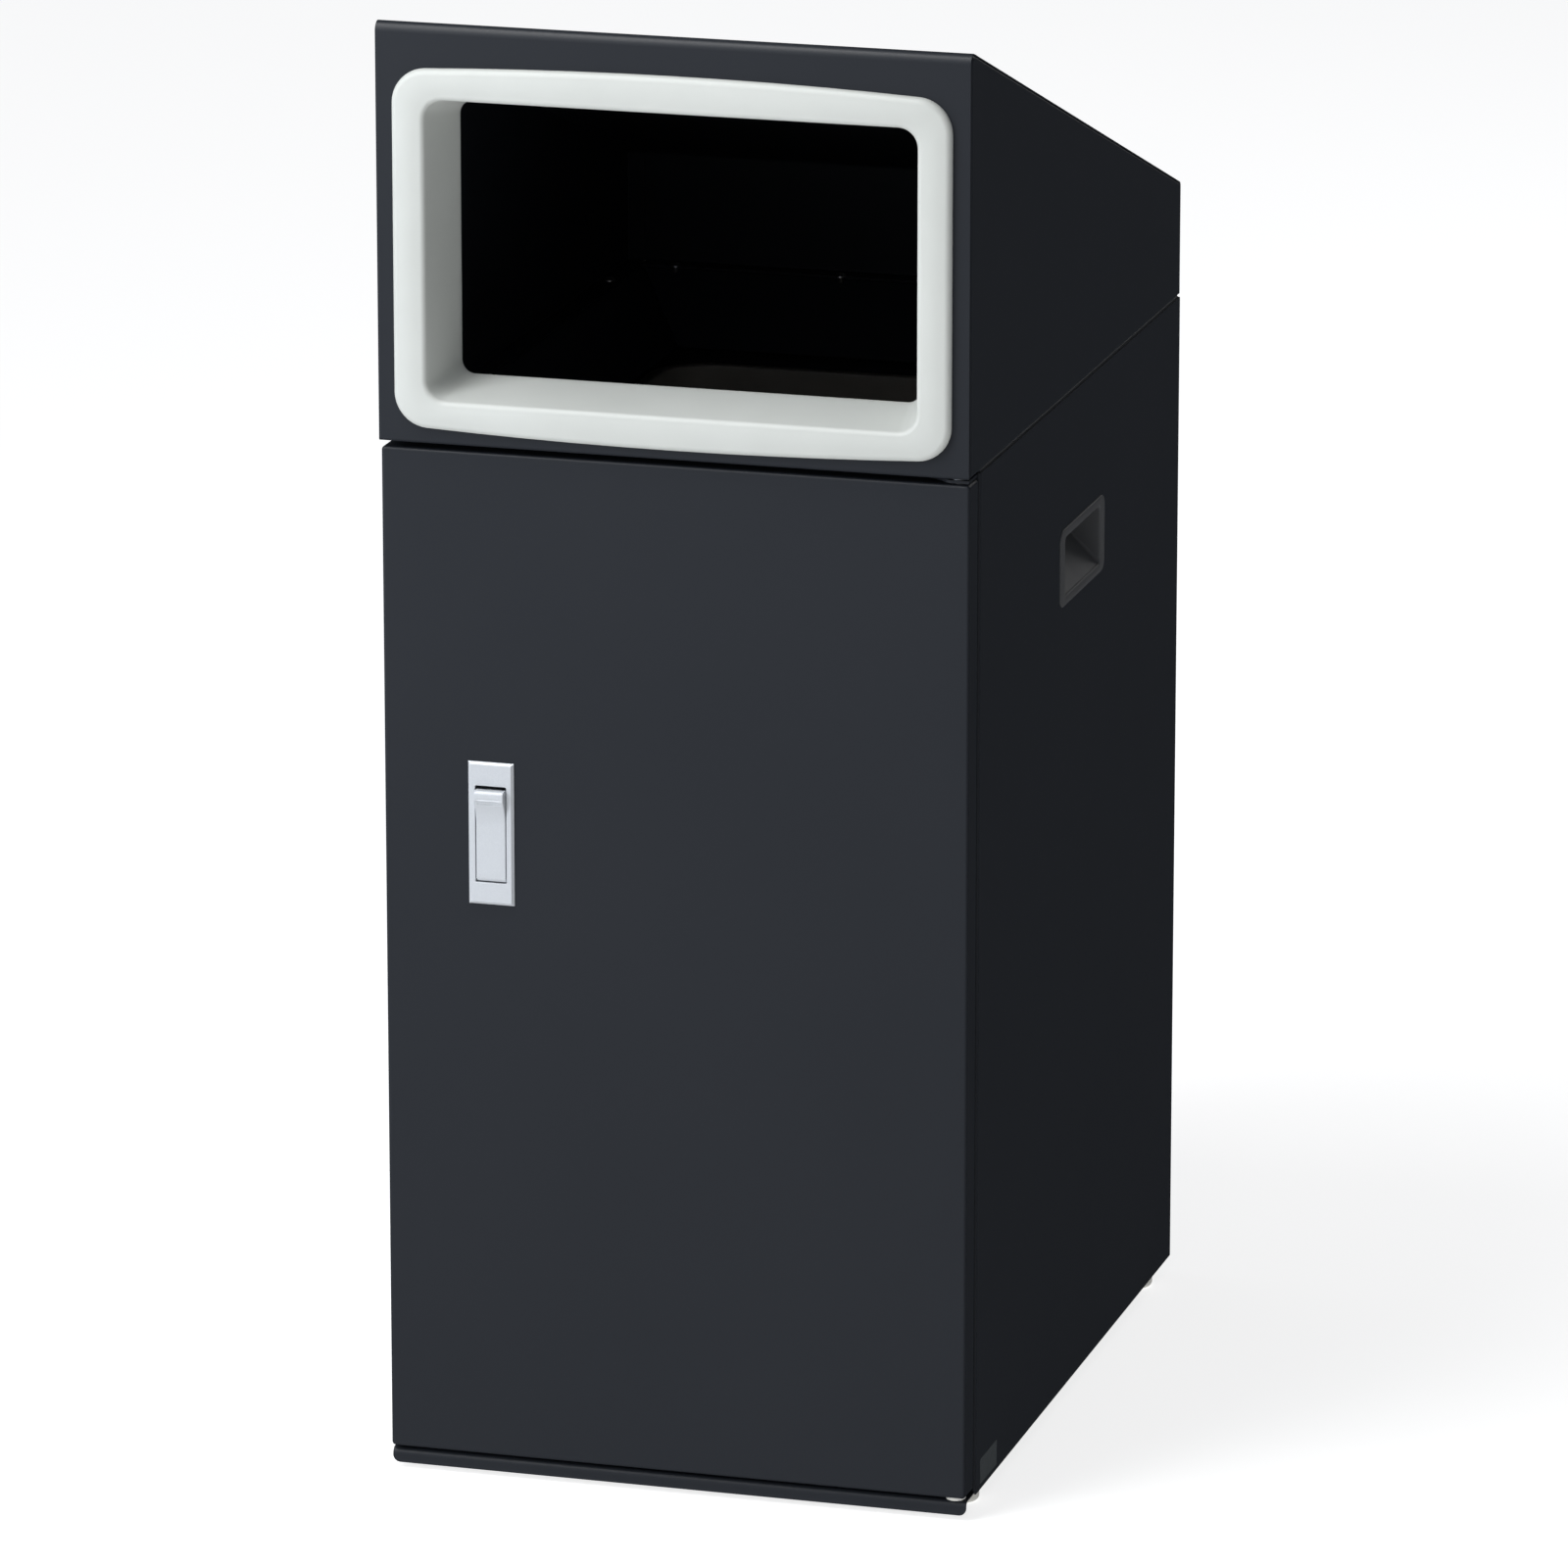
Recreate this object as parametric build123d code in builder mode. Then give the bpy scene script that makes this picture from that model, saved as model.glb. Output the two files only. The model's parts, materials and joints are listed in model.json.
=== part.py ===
"""Steel litter cabinet: a sloped hood with a framed mouth, a hinged front door with a flush
lever latch, and a loose pail inside under four guide plates.

Millimetres. X runs across the front, Y from front to back, Z up from the floor. The origin is
on the floor, under the middle of the whole object.
"""

from build123d import *
from math import atan2, degrees, radians, sin
import os

os.makedirs("parts", exist_ok=True)

# Overall size
width = 400.0
depth = 560.0  # hood face to rear face
hood_front_height = 990.4  # where face and slope would meet without their bend
hood_back_height = 789.6
seam_height = 710.0  # bottom of the hood's face
foot_height = 12.0
frame_proud = 6.0  # mouth frame in front of the hood's face

# Sheet metal and fasteners
sheet = 1.0
bend = 1.5  # radius of a tight bend, at the middle of the sheet
hood_top_bend = 5.5
hood_back_bend = 3.5
cheek_corner = 2.2
rivet_radius = 1.6
screw_radius = 2.0
hole_play = 0.1
nut_thick = 3.2

# Body
body_setback = 26.7  # body's front edge behind the hood's face
body_top = 708.5
base_top = 14.0
jamb_width = 35.0
rear_flange_width = 19.0
base_flange_top = 34.0
lip_setback = 6.2
lip_bottom = 4.0
lip_bend = 4.0
lip_corner = 5.0

# Top frame and guide plates
frame_top = 710.5
frame_depth = 20.0
throat_half_width = 184.0
throat_front_y = -232.0
throat_back_y = 268.0
guide_bottom = 662.0
mitre_gap = 0.4
guide_run = 36.0  # how far a guide plate leans inwards
guide_flange = 11.0
hood_screw_edge = 9.0  # in from the sides
hood_side_screws = (-150.0, 210.0)
hood_rear_screws = (-160.0, -40.0, 40.0, 160.0)

# Mouth
mouth_half_width = 187.7
mouth_side_low = 722.0
mouth_side_high = 958.0
mouth_crown_low = 716.8
mouth_crown_high = 963.4
mouth_corner = 22.0
mouth_round = 4.6
funnel_front = (165.0, 740.0, 939.0)  # half width, low edge, high edge
funnel_front_corner = 13.0
funnel_back = (155.5, 748.5, 930.5)
funnel_back_corner = 9.0
funnel_depth = 50.0
funnel_wall = 2.4
cutout = (177.0, 727.5, 952.5)
cutout_corner = 18.0
mouth_screw_reach = 182.3  # side screws, out from the middle
mouth_screw_heights = (790.0, 890.0)
mouth_screw_spread = 70.0  # top and bottom screws, out from the middle
mouth_screw_edges = (722.9, 957.6)

# Door
door_setback = 3.2
door_depth = 20.0
door_half_width = 199.0
door_bottom = 16.5
door_top = 705.5
door_return = 14.0
pivot_x = 190.5
pivot_setback = 9.0  # pivot behind the door's face
pin_radius = 4.0
running_play = 0.05
washer_radius = 6.6
washer_thick = 2.3
lower_pin_length = 14.5
upper_pin_length = 14.0
upper_pin_head = 6.0
bracket_left = 166.0
bracket_arm_gap = 0.9  # above the door
bracket_arm_thick = 2.0
bracket_leg_width = 16.0
bracket_leg_height = 30.0
stiffener_end_gap = 40.0
hinge_plate_length = 36.0
hinge_plate_thick = 2.5

# Latch
latch_x = -125.2
latch_low = 400.0
latch_high = 497.0
latch_width = 31.2
latch_proud = 2.2
latch_chamfer = 1.6
latch_softening = 0.7
window_softening = 0.35
lever_window = (21.4, 415.0, 481.0)  # width, low edge, high edge
lever_pivot_z = 418.5
lever_width = 20.2
bolt_travel = 8.0
lever_swing = 30.0
cam_arm = 25.0  # pivot to the middle of the cam's ball

# Pail
pail_half_width = 154.0
pail_front_y = -219.0
pail_back_y = 237.0
pail_top = 650.0
pail_wall = 3.0
pail_draft = 1.2
pail_corner = 38.0
pail_rim = 6.0
pail_rim_height = 7.0
pail_foot_round = 9.0

# Carry handles
handle_y = 13.0
handle_z = 593.0
handle_length = 117.0
handle_height = 53.0
pocket_length = 94.0
pocket_height = 40.0
pocket_depth = 36.0
handle_flange = 1.2
handle_corner = 8.0
handle_round = 0.9
pocket_wall = 2.0
pocket_end_wall = 3.0  # upright part of the inner wall, under the pocket's roof

# Feet
foot_radius = 12.0
foot_round = 3.5
foot_bore = 5.5
foot_bore_top = 6.0
foot_x = 184.0
foot_front_y = -227.0
foot_back_y = 244.0

# Blank label on the right side
label_y = -218.0
label_z = 24.5
label_length = 42.0
label_height = 17.5

# Places worked out from the sizes above
half = width / 2
front_y = -(depth + frame_proud) / 2 + frame_proud
back_y = front_y + depth
body_front = front_y + body_setback
jamb_back = body_front + sheet
inside_x = half - sheet
back_panel_inside = back_y - 2 * sheet
slope = (hood_front_height - hood_back_height) / depth
door_front = front_y + door_setback
door_back = door_front + door_depth
pivot_y = door_front + pivot_setback
foot_places = [(x, y) for x in (-foot_x, foot_x) for y in (foot_front_y, foot_back_y)]
mouth_screw_places = [(s * mouth_screw_reach, z) for s in (-1, 1) for z in mouth_screw_heights]
mouth_screw_places += [(s * mouth_screw_spread, z) for s in (-1, 1) for z in mouth_screw_edges]


# Latch housing, in the door's thickness and a little behind it
housing_width = 28.0
housing_wall = 1.5
housing_low = 411.6
housing_high = 485.4
housing_back = -241.4
lever_pivot_y = door_front - latch_proud + 3.0
lever_pin_radius = 1.5
cam_ball = 2.4
spring_y = lever_pivot_y + 13.0
ledge_low = 446.0
bolt_thick = 3.0
bolt_height = 14.0
bolt_y = jamb_back + 1.6 + 0.9 + bolt_thick / 2
bolt_z = 425.5
bolt_end = -172.0
block_front = lever_pivot_y + cam_arm - 4.0
block_width = 16.2
block_height = 24.0
stiffener_depth = 15.0
keeper_x = -(half - jamb_width) - 9.0
keeper_thick = 1.6
clamp_screw_y = door_front + sheet + 7.5
clamp_screw_radius = 1.5
keeper_spacing = 34.0

pieces = []


def keep(builder, name):
    """Label a finished sub-part and put it on the list to be written."""
    builder.part.label = name
    pieces.append(builder.part)


def folded_sheet(points, radii):
    """Section of a folded sheet, from the line along the middle of its thickness."""
    with BuildLine() as middle_line:
        FilletPolyline(*points, radius=radii)
    trace(middle_line.line, line_width=sheet)


def low_high_rectangle(half_width, low, high, corner):
    """Rounded rectangle between two heights on an upright plane."""
    with Locations((0, (low + high) / 2)):
        RectangleRounded(2 * half_width, high - low, corner)


def headed_pin(shank, length, head, head_height):
    """Round-headed pin along +Z: the head stands on Z = 0 and the shank hangs below it."""
    with BuildPart() as pin:
        Cylinder(shank, length, align=(Align.CENTER, Align.CENTER, Align.MAX))
        Cylinder(head, head_height, align=(Align.CENTER, Align.CENTER, Align.MIN))
        fillet(pin.edges().group_by(Axis.Z)[-1], 0.75 * head_height)
    return pin.part


def hex_nut(across_flats, thickness, hole):
    with BuildPart() as nut:
        with BuildSketch():
            RegularPolygon(across_flats / 2, 6, major_radius=False)
            Circle(hole, mode=Mode.SUBTRACT)
        extrude(amount=thickness)
    return nut.part


# ---------------------------------------------------------------- side panels
# Each is one sheet with a jamb flange turned in behind the door and a flange at the back.
rivet_x = half - 11.0
rivet_heights = [60 + 118 * i for i in range(6)]
for side, name in ((-1, "left_side_panel"), (1, "right_side_panel")):
    with BuildPart() as side_panel:
        with BuildSketch(Plane.XY.offset(foot_height)):
            middle = half - sheet / 2
            folded_sheet(
                [
                    (side * (half - jamb_width), body_front + sheet / 2),
                    (side * middle, body_front + sheet / 2),
                    (side * middle, back_y - sheet / 2),
                    (side * (half - rear_flange_width), back_y - sheet / 2),
                ],
                bend,
            )
        extrude(amount=body_top - foot_height)
        with BuildSketch(Plane.XY.offset(foot_height)):
            with Locations((side * (inside_x - 20), body_front)):
                Rectangle(40, 8)
        extrude(amount=base_top + 0.2 - foot_height, mode=Mode.SUBTRACT)
        with BuildSketch(Plane.YZ.offset(side * half)):
            with Locations((handle_y, handle_z)):
                RectangleRounded(handle_length - 12, handle_height - 8, 3)
        extrude(amount=3 * sheet, both=True, mode=Mode.SUBTRACT)
        with BuildSketch(Plane.XZ.offset(-back_y)):
            with Locations([(side * rivet_x, z) for z in rivet_heights]):
                Circle(rivet_radius + hole_play)
        extrude(amount=sheet + 1, both=True, mode=Mode.SUBTRACT)
        if side < 0:
            with BuildSketch(Plane.XZ.offset(-jamb_back)):
                with Locations([(keeper_x, bolt_z + s * keeper_spacing / 2) for s in (-1, 1)]):
                    Circle(screw_radius + hole_play)
            extrude(amount=2 * sheet, both=True, mode=Mode.SUBTRACT)
    keep(side_panel, name)

# ---------------------------------------------------------------- back panel and its rivets
with BuildPart() as back_panel:
    with BuildSketch(Plane.XZ.offset(-(back_y - sheet))):
        with Locations((0, (foot_height + body_top) / 2)):
            Rectangle(2 * (inside_x - bend), body_top - foot_height)
        with Locations([(s * rivet_x, z) for s in (-1, 1) for z in rivet_heights]):
            Circle(rivet_radius + hole_play, mode=Mode.SUBTRACT)
    extrude(amount=sheet)
keep(back_panel, "back_panel")

rivet = headed_pin(rivet_radius, 2 * sheet + 1.0, 3.2, 1.0)
with BuildPart() as back_panel_rivets:
    with Locations([Location((s * rivet_x, back_y, z), (-90, 0, 0))
                    for s in (-1, 1) for z in rivet_heights]):
        add(rivet)
keep(back_panel_rivets, "back_panel_rivets")

# ---------------------------------------------------------------- base pan
# One sheet: rear flange, floor, and a lip that runs out under the door and turns down.
with BuildPart() as base_pan:
    with BuildSketch(Plane.YZ.offset(-inside_x)):
        rear = back_panel_inside - sheet / 2
        lip = front_y + lip_setback + sheet / 2
        folded_sheet(
            [
                (rear, base_flange_top),
                (rear, base_top - sheet / 2),
                (lip, base_top - sheet / 2),
                (lip, lip_bottom),
            ],
            [bend, lip_bend],
        )
    extrude(amount=2 * inside_x)
    lip_ends = base_pan.edges().filter_by(Axis.Y).group_by(Axis.Z)[0]
    fillet(lip_ends, lip_corner)
    with Locations([(s * (inside_x - sheet / 2), (jamb_back + rear) / 2, base_top) for s in (-1, 1)]):
        Box(sheet, rear - jamb_back - 8, base_flange_top - base_top,
            align=(Align.CENTER, Align.CENTER, Align.MIN))
    with BuildSketch(Plane.XY.offset(base_top)):
        with Locations(foot_places):
            Circle(screw_radius + hole_play)
        with Locations((pivot_x, pivot_y)):
            Circle(pin_radius + running_play)
    extrude(amount=-3 * sheet, mode=Mode.SUBTRACT)
keep(base_pan, "base_pan")

# ---------------------------------------------------------------- top frame
# A shallow pan open downwards, with the throat cut through it. The hood stands on it.
with BuildPart() as top_frame:
    frame_mid_y = (jamb_back + back_panel_inside) / 2
    with BuildSketch(Plane.XY.offset(frame_top - frame_depth)):
        with Locations((0, frame_mid_y)):
            Rectangle(2 * inside_x, back_panel_inside - jamb_back)
    extrude(amount=frame_depth)
    fillet(top_frame.edges().filter_by(Axis.Z), bend + sheet / 2)
    fillet(top_frame.edges().group_by(Axis.Z)[-1], bend)
    offset(amount=-sheet, openings=top_frame.faces().sort_by(Axis.Z)[0])
    with BuildSketch(Plane.XY.offset(frame_top)):
        with Locations((0, (throat_front_y + throat_back_y) / 2)):
            Rectangle(2 * throat_half_width, throat_back_y - throat_front_y)
    extrude(amount=-3 * sheet, mode=Mode.SUBTRACT)
    hood_screw_places = [(s * (half - hood_screw_edge), y) for s in (-1, 1) for y in hood_side_screws]
    hood_screw_places += [(x, back_y - hood_screw_edge - 1.0) for x in hood_rear_screws]
    with BuildSketch(Plane.XY.offset(frame_top)):
        with Locations(hood_screw_places):
            Circle(screw_radius + hole_play)
    extrude(amount=-3 * sheet, mode=Mode.SUBTRACT)
keep(top_frame, "top_frame")

# ---------------------------------------------------------------- guide plates
# Four plates, mitred at 45 degrees in plan, hang from the throat's edges and lean inwards.
throat_mid_y = (throat_front_y + throat_back_y) / 2
throat_half_depth = (throat_back_y - throat_front_y) / 2
hang = frame_top - sheet - sheet / 2


def guide_plate(reach, spread):
    """Guide plate on the +X side of a throat: reach is its edge's X, spread its half length."""
    with BuildPart() as guide:
        with BuildSketch(Plane.XZ.offset(-(spread + guide_flange))):
            folded_sheet(
                [
                    (reach + guide_flange, hang),
                    (reach - sheet / 2, hang),
                    (reach - guide_run, guide_bottom),
                ],
                bend,
            )
        extrude(amount=2 * (spread + guide_flange))
        with BuildSketch(Plane.XY.offset(guide_bottom - 10)):
            far = reach + guide_flange
            near = reach - guide_run - 10
            far_half = spread + guide_flange - mitre_gap
            near_half = spread - guide_run - 10 - mitre_gap
            Polygon((far, -far_half), (far, far_half), (near, near_half), (near, -near_half), align=None)
        extrude(amount=frame_top - guide_bottom + 10, mode=Mode.INTERSECT)
    return guide.part


side_guide = guide_plate(throat_half_width, throat_half_depth)
end_guide = guide_plate(throat_half_depth, throat_half_width)
guide_turns = (
    ("guide_right", side_guide, 0),
    ("guide_left", side_guide, 180),
    ("guide_rear", end_guide, 90),
    ("guide_front", end_guide, -90),
)
for name, plate, turn in guide_turns:
    with BuildPart() as guide_piece:
        with Locations(Location((0, throat_mid_y, 0), (0, 0, turn))):
            add(plate)
        with Locations([(x, y, hang) for x, y in hood_screw_places]):
            Cylinder(screw_radius + hole_play, 3 * sheet, mode=Mode.SUBTRACT)
    keep(guide_piece, name)

# ---------------------------------------------------------------- hood
# The wrap is one sheet: bottom return, face, slope, back and rear return.
with BuildPart() as hood_wrap:
    face = front_y + sheet / 2
    rear = back_y - sheet / 2
    drop = sheet / 2 * (1 + slope**2) ** 0.5
    return_height = seam_height + sheet / 2
    with BuildSketch(Plane.YZ.offset(-(half - 0.8))):
        folded_sheet(
            [
                (front_y + 25, return_height),
                (face, return_height),
                (face, hood_front_height - slope * sheet / 2 - drop),
                (rear, hood_back_height + slope * sheet / 2 - drop),
                (rear, frame_top + sheet / 2),
                (back_y - 16, frame_top + sheet / 2),
            ],
            [bend, hood_top_bend, hood_back_bend, bend],
        )
    extrude(amount=2 * (half - 0.8))
    # The two returns stop short of the cheeks.
    with Locations([(s * (half - 5), (front_y + back_y) / 2, frame_top) for s in (-1, 1)]):
        Box(18, depth - 2 * sheet, 4, mode=Mode.SUBTRACT)
    with BuildSketch(Plane.XZ.offset(-front_y)):
        low_high_rectangle(*cutout, cutout_corner)
        with Locations(mouth_screw_places):
            Circle(screw_radius + hole_play)
    extrude(amount=3 * sheet, both=True, mode=Mode.SUBTRACT)
    with BuildSketch(Plane.XY.offset(frame_top)):
        with Locations(hood_screw_places[4:]):
            Circle(screw_radius + hole_play)
    extrude(amount=3 * sheet, mode=Mode.SUBTRACT)
keep(hood_wrap, "hood_wrap")

# The cheeks are shallow pans whose flanges lie just under the wrap.
cheek_gap = sheet + 0.2
cheek_depth = 13.0
for side, name in ((-1, "hood_left_cheek"), (1, "hood_right_cheek")):
    with BuildPart() as cheek:
        with BuildSketch(Plane.YZ.offset(side * half)) as cheek_outline:
            fall = cheek_gap * (1 + slope**2) ** 0.5
            with BuildLine():
                FilletPolyline(
                    (front_y + cheek_gap, frame_top),
                    (front_y + cheek_gap, hood_front_height - slope * cheek_gap - fall),
                    (back_y - cheek_gap, hood_back_height + slope * cheek_gap - fall),
                    (back_y - cheek_gap, frame_top),
                    radius=[hood_top_bend - 0.7, hood_back_bend - 0.7],
                    close=False,
                )
                Line((back_y - cheek_gap, frame_top), (front_y + cheek_gap, frame_top))
            make_face()
        extrude(amount=-side * cheek_depth)
        outer_face = cheek.faces().filter_by(Axis.X).sort_by(Axis.X)[-1 if side > 0 else 0]
        fillet(outer_face.edges(), cheek_corner)
        inner_face = cheek.faces().filter_by(Axis.X).sort_by(Axis.X)[0 if side > 0 else -1]
        offset(amount=-sheet, openings=inner_face)
        with BuildSketch(Plane.XY.offset(frame_top)):
            with Locations([p for p in hood_screw_places[:4] if p[0] * side > 0]):
                Circle(screw_radius + hole_play)
        extrude(amount=2 * sheet, mode=Mode.SUBTRACT)
    keep(cheek, name)

# Dome-headed screws hold the hood down on the top frame, with a nut under each.
dome_screw = headed_pin(screw_radius, 6.5, 4.2, 2.6)
with BuildPart() as hood_screws:
    with Locations([(x, y, frame_top + sheet) for x, y in hood_screw_places]):
        add(dome_screw)
keep(hood_screws, "hood_screws")

with BuildPart() as hood_nuts:
    with Locations([(x, y, frame_top - 2 * sheet - nut_thick) for x, y in hood_screw_places]):
        add(hex_nut(7.0, nut_thick, screw_radius + hole_play))
keep(hood_nuts, "hood_nuts")

# ---------------------------------------------------------------- mouth frame
# A moulded ring on the hood's face, its long edges slightly crowned, with a tapering funnel.
with BuildPart() as mouth_frame:
    with BuildSketch(Plane.XZ.offset(-front_y)):
        with BuildLine():
            low_edge = ThreePointArc(
                (-mouth_half_width, mouth_side_low),
                (0, mouth_crown_low),
                (mouth_half_width, mouth_side_low),
            )
            Line(low_edge @ 1, (mouth_half_width, mouth_side_high))
            ThreePointArc(
                (mouth_half_width, mouth_side_high),
                (0, mouth_crown_high),
                (-mouth_half_width, mouth_side_high),
            )
            Line((-mouth_half_width, mouth_side_high), low_edge @ 0)
        make_face()
        fillet(vertices(), mouth_corner)
    extrude(amount=frame_proud)
    rim = mouth_frame.faces().filter_by(Axis.Y).sort_by(Axis.Y)[0]
    fillet(rim.edges(), mouth_round)
    for grow, mode in ((funnel_wall, Mode.ADD), (0, Mode.SUBTRACT)):
        for (half_w, low, high), setback, corner in (
            (funnel_front, -frame_proud, funnel_front_corner),
            (funnel_back, funnel_depth - frame_proud, funnel_back_corner),
        ):
            with BuildSketch(Plane.XZ.offset(-(front_y + setback))):
                low_high_rectangle(half_w + grow, low - grow, high + grow, corner + grow)
        loft(mode=mode)
    with BuildSketch(Plane.XZ.offset(-front_y)):
        with Locations(mouth_screw_places):
            Circle(screw_radius + hole_play)
    extrude(amount=4.0, mode=Mode.SUBTRACT)
keep(mouth_frame, "mouth_frame")

pan_screw = headed_pin(screw_radius, 4.6, 3.2, 1.8)
with BuildPart() as mouth_frame_screws:
    with Locations([Location((x, front_y + sheet, z), (-90, 0, 0)) for x, z in mouth_screw_places]):
        add(pan_screw)
keep(mouth_frame_screws, "mouth_frame_screws")

# ---------------------------------------------------------------- pail
with BuildPart() as pail:
    pail_mid_y = (pail_front_y + pail_back_y) / 2
    pail_length = pail_back_y - pail_front_y
    with BuildSketch(Plane.XY.offset(pail_top)):
        with Locations((0, pail_mid_y)):
            RectangleRounded(2 * pail_half_width, pail_length, pail_corner)
    extrude(amount=-(pail_top - base_top), taper=pail_draft)
    fillet(pail.faces().sort_by(Axis.Z)[0].edges(), pail_foot_round)
    with BuildSketch(Plane.XY.offset(pail_top)):
        with Locations((0, pail_mid_y)):
            RectangleRounded(
                2 * (pail_half_width - pail_wall), pail_length - 2 * pail_wall, pail_corner - pail_wall
            )
    extrude(amount=-(pail_top - base_top - pail_wall), taper=pail_draft, mode=Mode.SUBTRACT)
    with BuildSketch(Plane.XY.offset(pail_top)):
        with Locations((0, pail_mid_y)):
            RectangleRounded(
                2 * (pail_half_width + pail_rim), pail_length + 2 * pail_rim, pail_corner + pail_rim
            )
            RectangleRounded(
                2 * (pail_half_width - 1), pail_length - 2, pail_corner - 1, mode=Mode.SUBTRACT
            )
    extrude(amount=-pail_rim_height)
    with BuildSketch(Plane.XY.offset(pail_top - 3)):
        with Locations((0, pail_mid_y)):
            RectangleRounded(
                2 * (pail_half_width + pail_rim - 2), pail_length + 2 * pail_rim - 4, pail_corner + pail_rim - 2
            )
            RectangleRounded(2 * pail_half_width, pail_length, pail_corner, mode=Mode.SUBTRACT)
    extrude(amount=-4.0, mode=Mode.SUBTRACT)
keep(pail, "pail")

# ---------------------------------------------------------------- feet
with BuildPart() as glide_feet:
    with BuildSketch(Plane.XZ) as foot_section:
        with BuildLine():
            Polyline(
                (screw_radius + hole_play, base_top - sheet),
                (foot_radius, base_top - sheet),
                (foot_radius, foot_round),
            )
            RadiusArc((foot_radius, foot_round), (foot_radius - foot_round, 0), foot_round)
            Polyline(
                (foot_radius - foot_round, 0),
                (foot_bore, 0),
                (foot_bore, foot_bore_top),
                (screw_radius + hole_play, foot_bore_top),
                (screw_radius + hole_play, base_top - sheet),
            )
        make_face()
    foot = revolve(axis=Axis.Z, mode=Mode.PRIVATE)
    with Locations([(x, y, 0) for x, y in foot_places]):
        add(foot)
keep(glide_feet, "glide_feet")

foot_screw = headed_pin(screw_radius, 13.0, 4.2, 2.6)
with BuildPart() as foot_screws:
    with Locations([Location((x, y, foot_bore_top), (180, 0, 0)) for x, y in foot_places]):
        add(foot_screw)
keep(foot_screws, "foot_screws")

with BuildPart() as foot_nuts:
    with Locations([(x, y, base_top) for x, y in foot_places]):
        add(hex_nut(7.0, nut_thick, screw_radius + hole_play))
keep(foot_nuts, "foot_nuts")

# ---------------------------------------------------------------- carry handles
# A thin flange on the outside and a wedge-shaped pocket that is deepest at its top.
pocket_low = handle_z - pocket_height / 2
pocket_high = handle_z + pocket_height / 2
for side, name in ((-1, "left_carry_handle"), (1, "right_carry_handle")):
    outer_x = side * (half + handle_flange)
    with BuildPart() as carry_handle:
        with BuildSketch(Plane.YZ.offset(side * half)):
            with Locations((handle_y, handle_z)):
                RectangleRounded(handle_length, handle_height, handle_corner)
        extrude(amount=side * handle_flange)
        rim_face = carry_handle.faces().filter_by(Axis.X).sort_by(Axis.X)[-1 if side > 0 else 0]
        fillet(rim_face.edges(), handle_round)
        for wall, mode in ((pocket_wall, Mode.ADD), (0, Mode.SUBTRACT)):
            with BuildSketch(Plane.XZ.offset(-(handle_y - pocket_length / 2 - wall))):
                mouth_x = outer_x if mode == Mode.SUBTRACT else side * half
                with BuildLine():
                    Polyline(
                        (mouth_x, pocket_low - wall),
                        (mouth_x, pocket_high + wall),
                        (outer_x - side * (pocket_depth + wall), pocket_high + wall),
                        (outer_x - side * (pocket_depth + wall), pocket_high - pocket_end_wall),
                        (mouth_x - side * pocket_wall, pocket_low - wall),
                        (mouth_x, pocket_low - wall),
                    )
                make_face()
            extrude(amount=-(pocket_length + 2 * wall), mode=mode)
    keep(carry_handle, name)

# ---------------------------------------------------------------- door hinge, cabinet side
with BuildPart() as lower_hinge_pin:
    with Locations((pivot_x, pivot_y, base_top - 4.0)):
        Cylinder(pin_radius, lower_pin_length, align=(Align.CENTER, Align.CENTER, Align.MIN))
    chamfer(lower_hinge_pin.edges().group_by(Axis.Z)[-1], 0.8)
keep(lower_hinge_pin, "lower_hinge_pin")

with BuildPart() as hinge_washer:
    with Locations((pivot_x, pivot_y, base_top)):
        Cylinder(washer_radius, washer_thick, align=(Align.CENTER, Align.CENTER, Align.MIN))
        Cylinder(pin_radius + running_play, washer_thick, align=(Align.CENTER, Align.CENTER, Align.MIN),
                 mode=Mode.SUBTRACT)
keep(hinge_washer, "hinge_washer")

arm_low = door_top + bracket_arm_gap
arm_thick = bracket_arm_thick
with BuildPart() as upper_hinge_bracket:
    with BuildSketch(Plane.XY.offset(arm_low)):
        with BuildLine():
            Polyline(
                (bracket_left, body_front),
                (bracket_left, body_front - 8),
                (pivot_x - 8.0, pivot_y - 6),
                (pivot_x - 5.0, pivot_y - 7.6),
                (half - 2.0, pivot_y - 7.6),
                (half - 2.0, body_front),
                (bracket_left, body_front),
            )
        make_face()
        with Locations((pivot_x, pivot_y)):
            Circle(pin_radius + running_play, mode=Mode.SUBTRACT)
    extrude(amount=arm_thick)
    with Locations((bracket_left + bracket_leg_width / 2, body_front - arm_thick / 2, arm_low + arm_thick)):
        Box(bracket_leg_width, arm_thick, bracket_leg_height, align=(Align.CENTER, Align.CENTER, Align.MAX))
keep(upper_hinge_bracket, "upper_hinge_bracket")

with BuildPart() as upper_hinge_pin:
    with Locations((pivot_x, pivot_y, arm_low + arm_thick)):
        Cylinder(upper_pin_head, 1.2, align=(Align.CENTER, Align.CENTER, Align.MIN))
        Cylinder(pin_radius, upper_pin_length, align=(Align.CENTER, Align.CENTER, Align.MAX))
    chamfer(upper_hinge_pin.edges().group_by(Axis.Z)[0], 0.8)
keep(upper_hinge_pin, "upper_hinge_pin")

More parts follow.
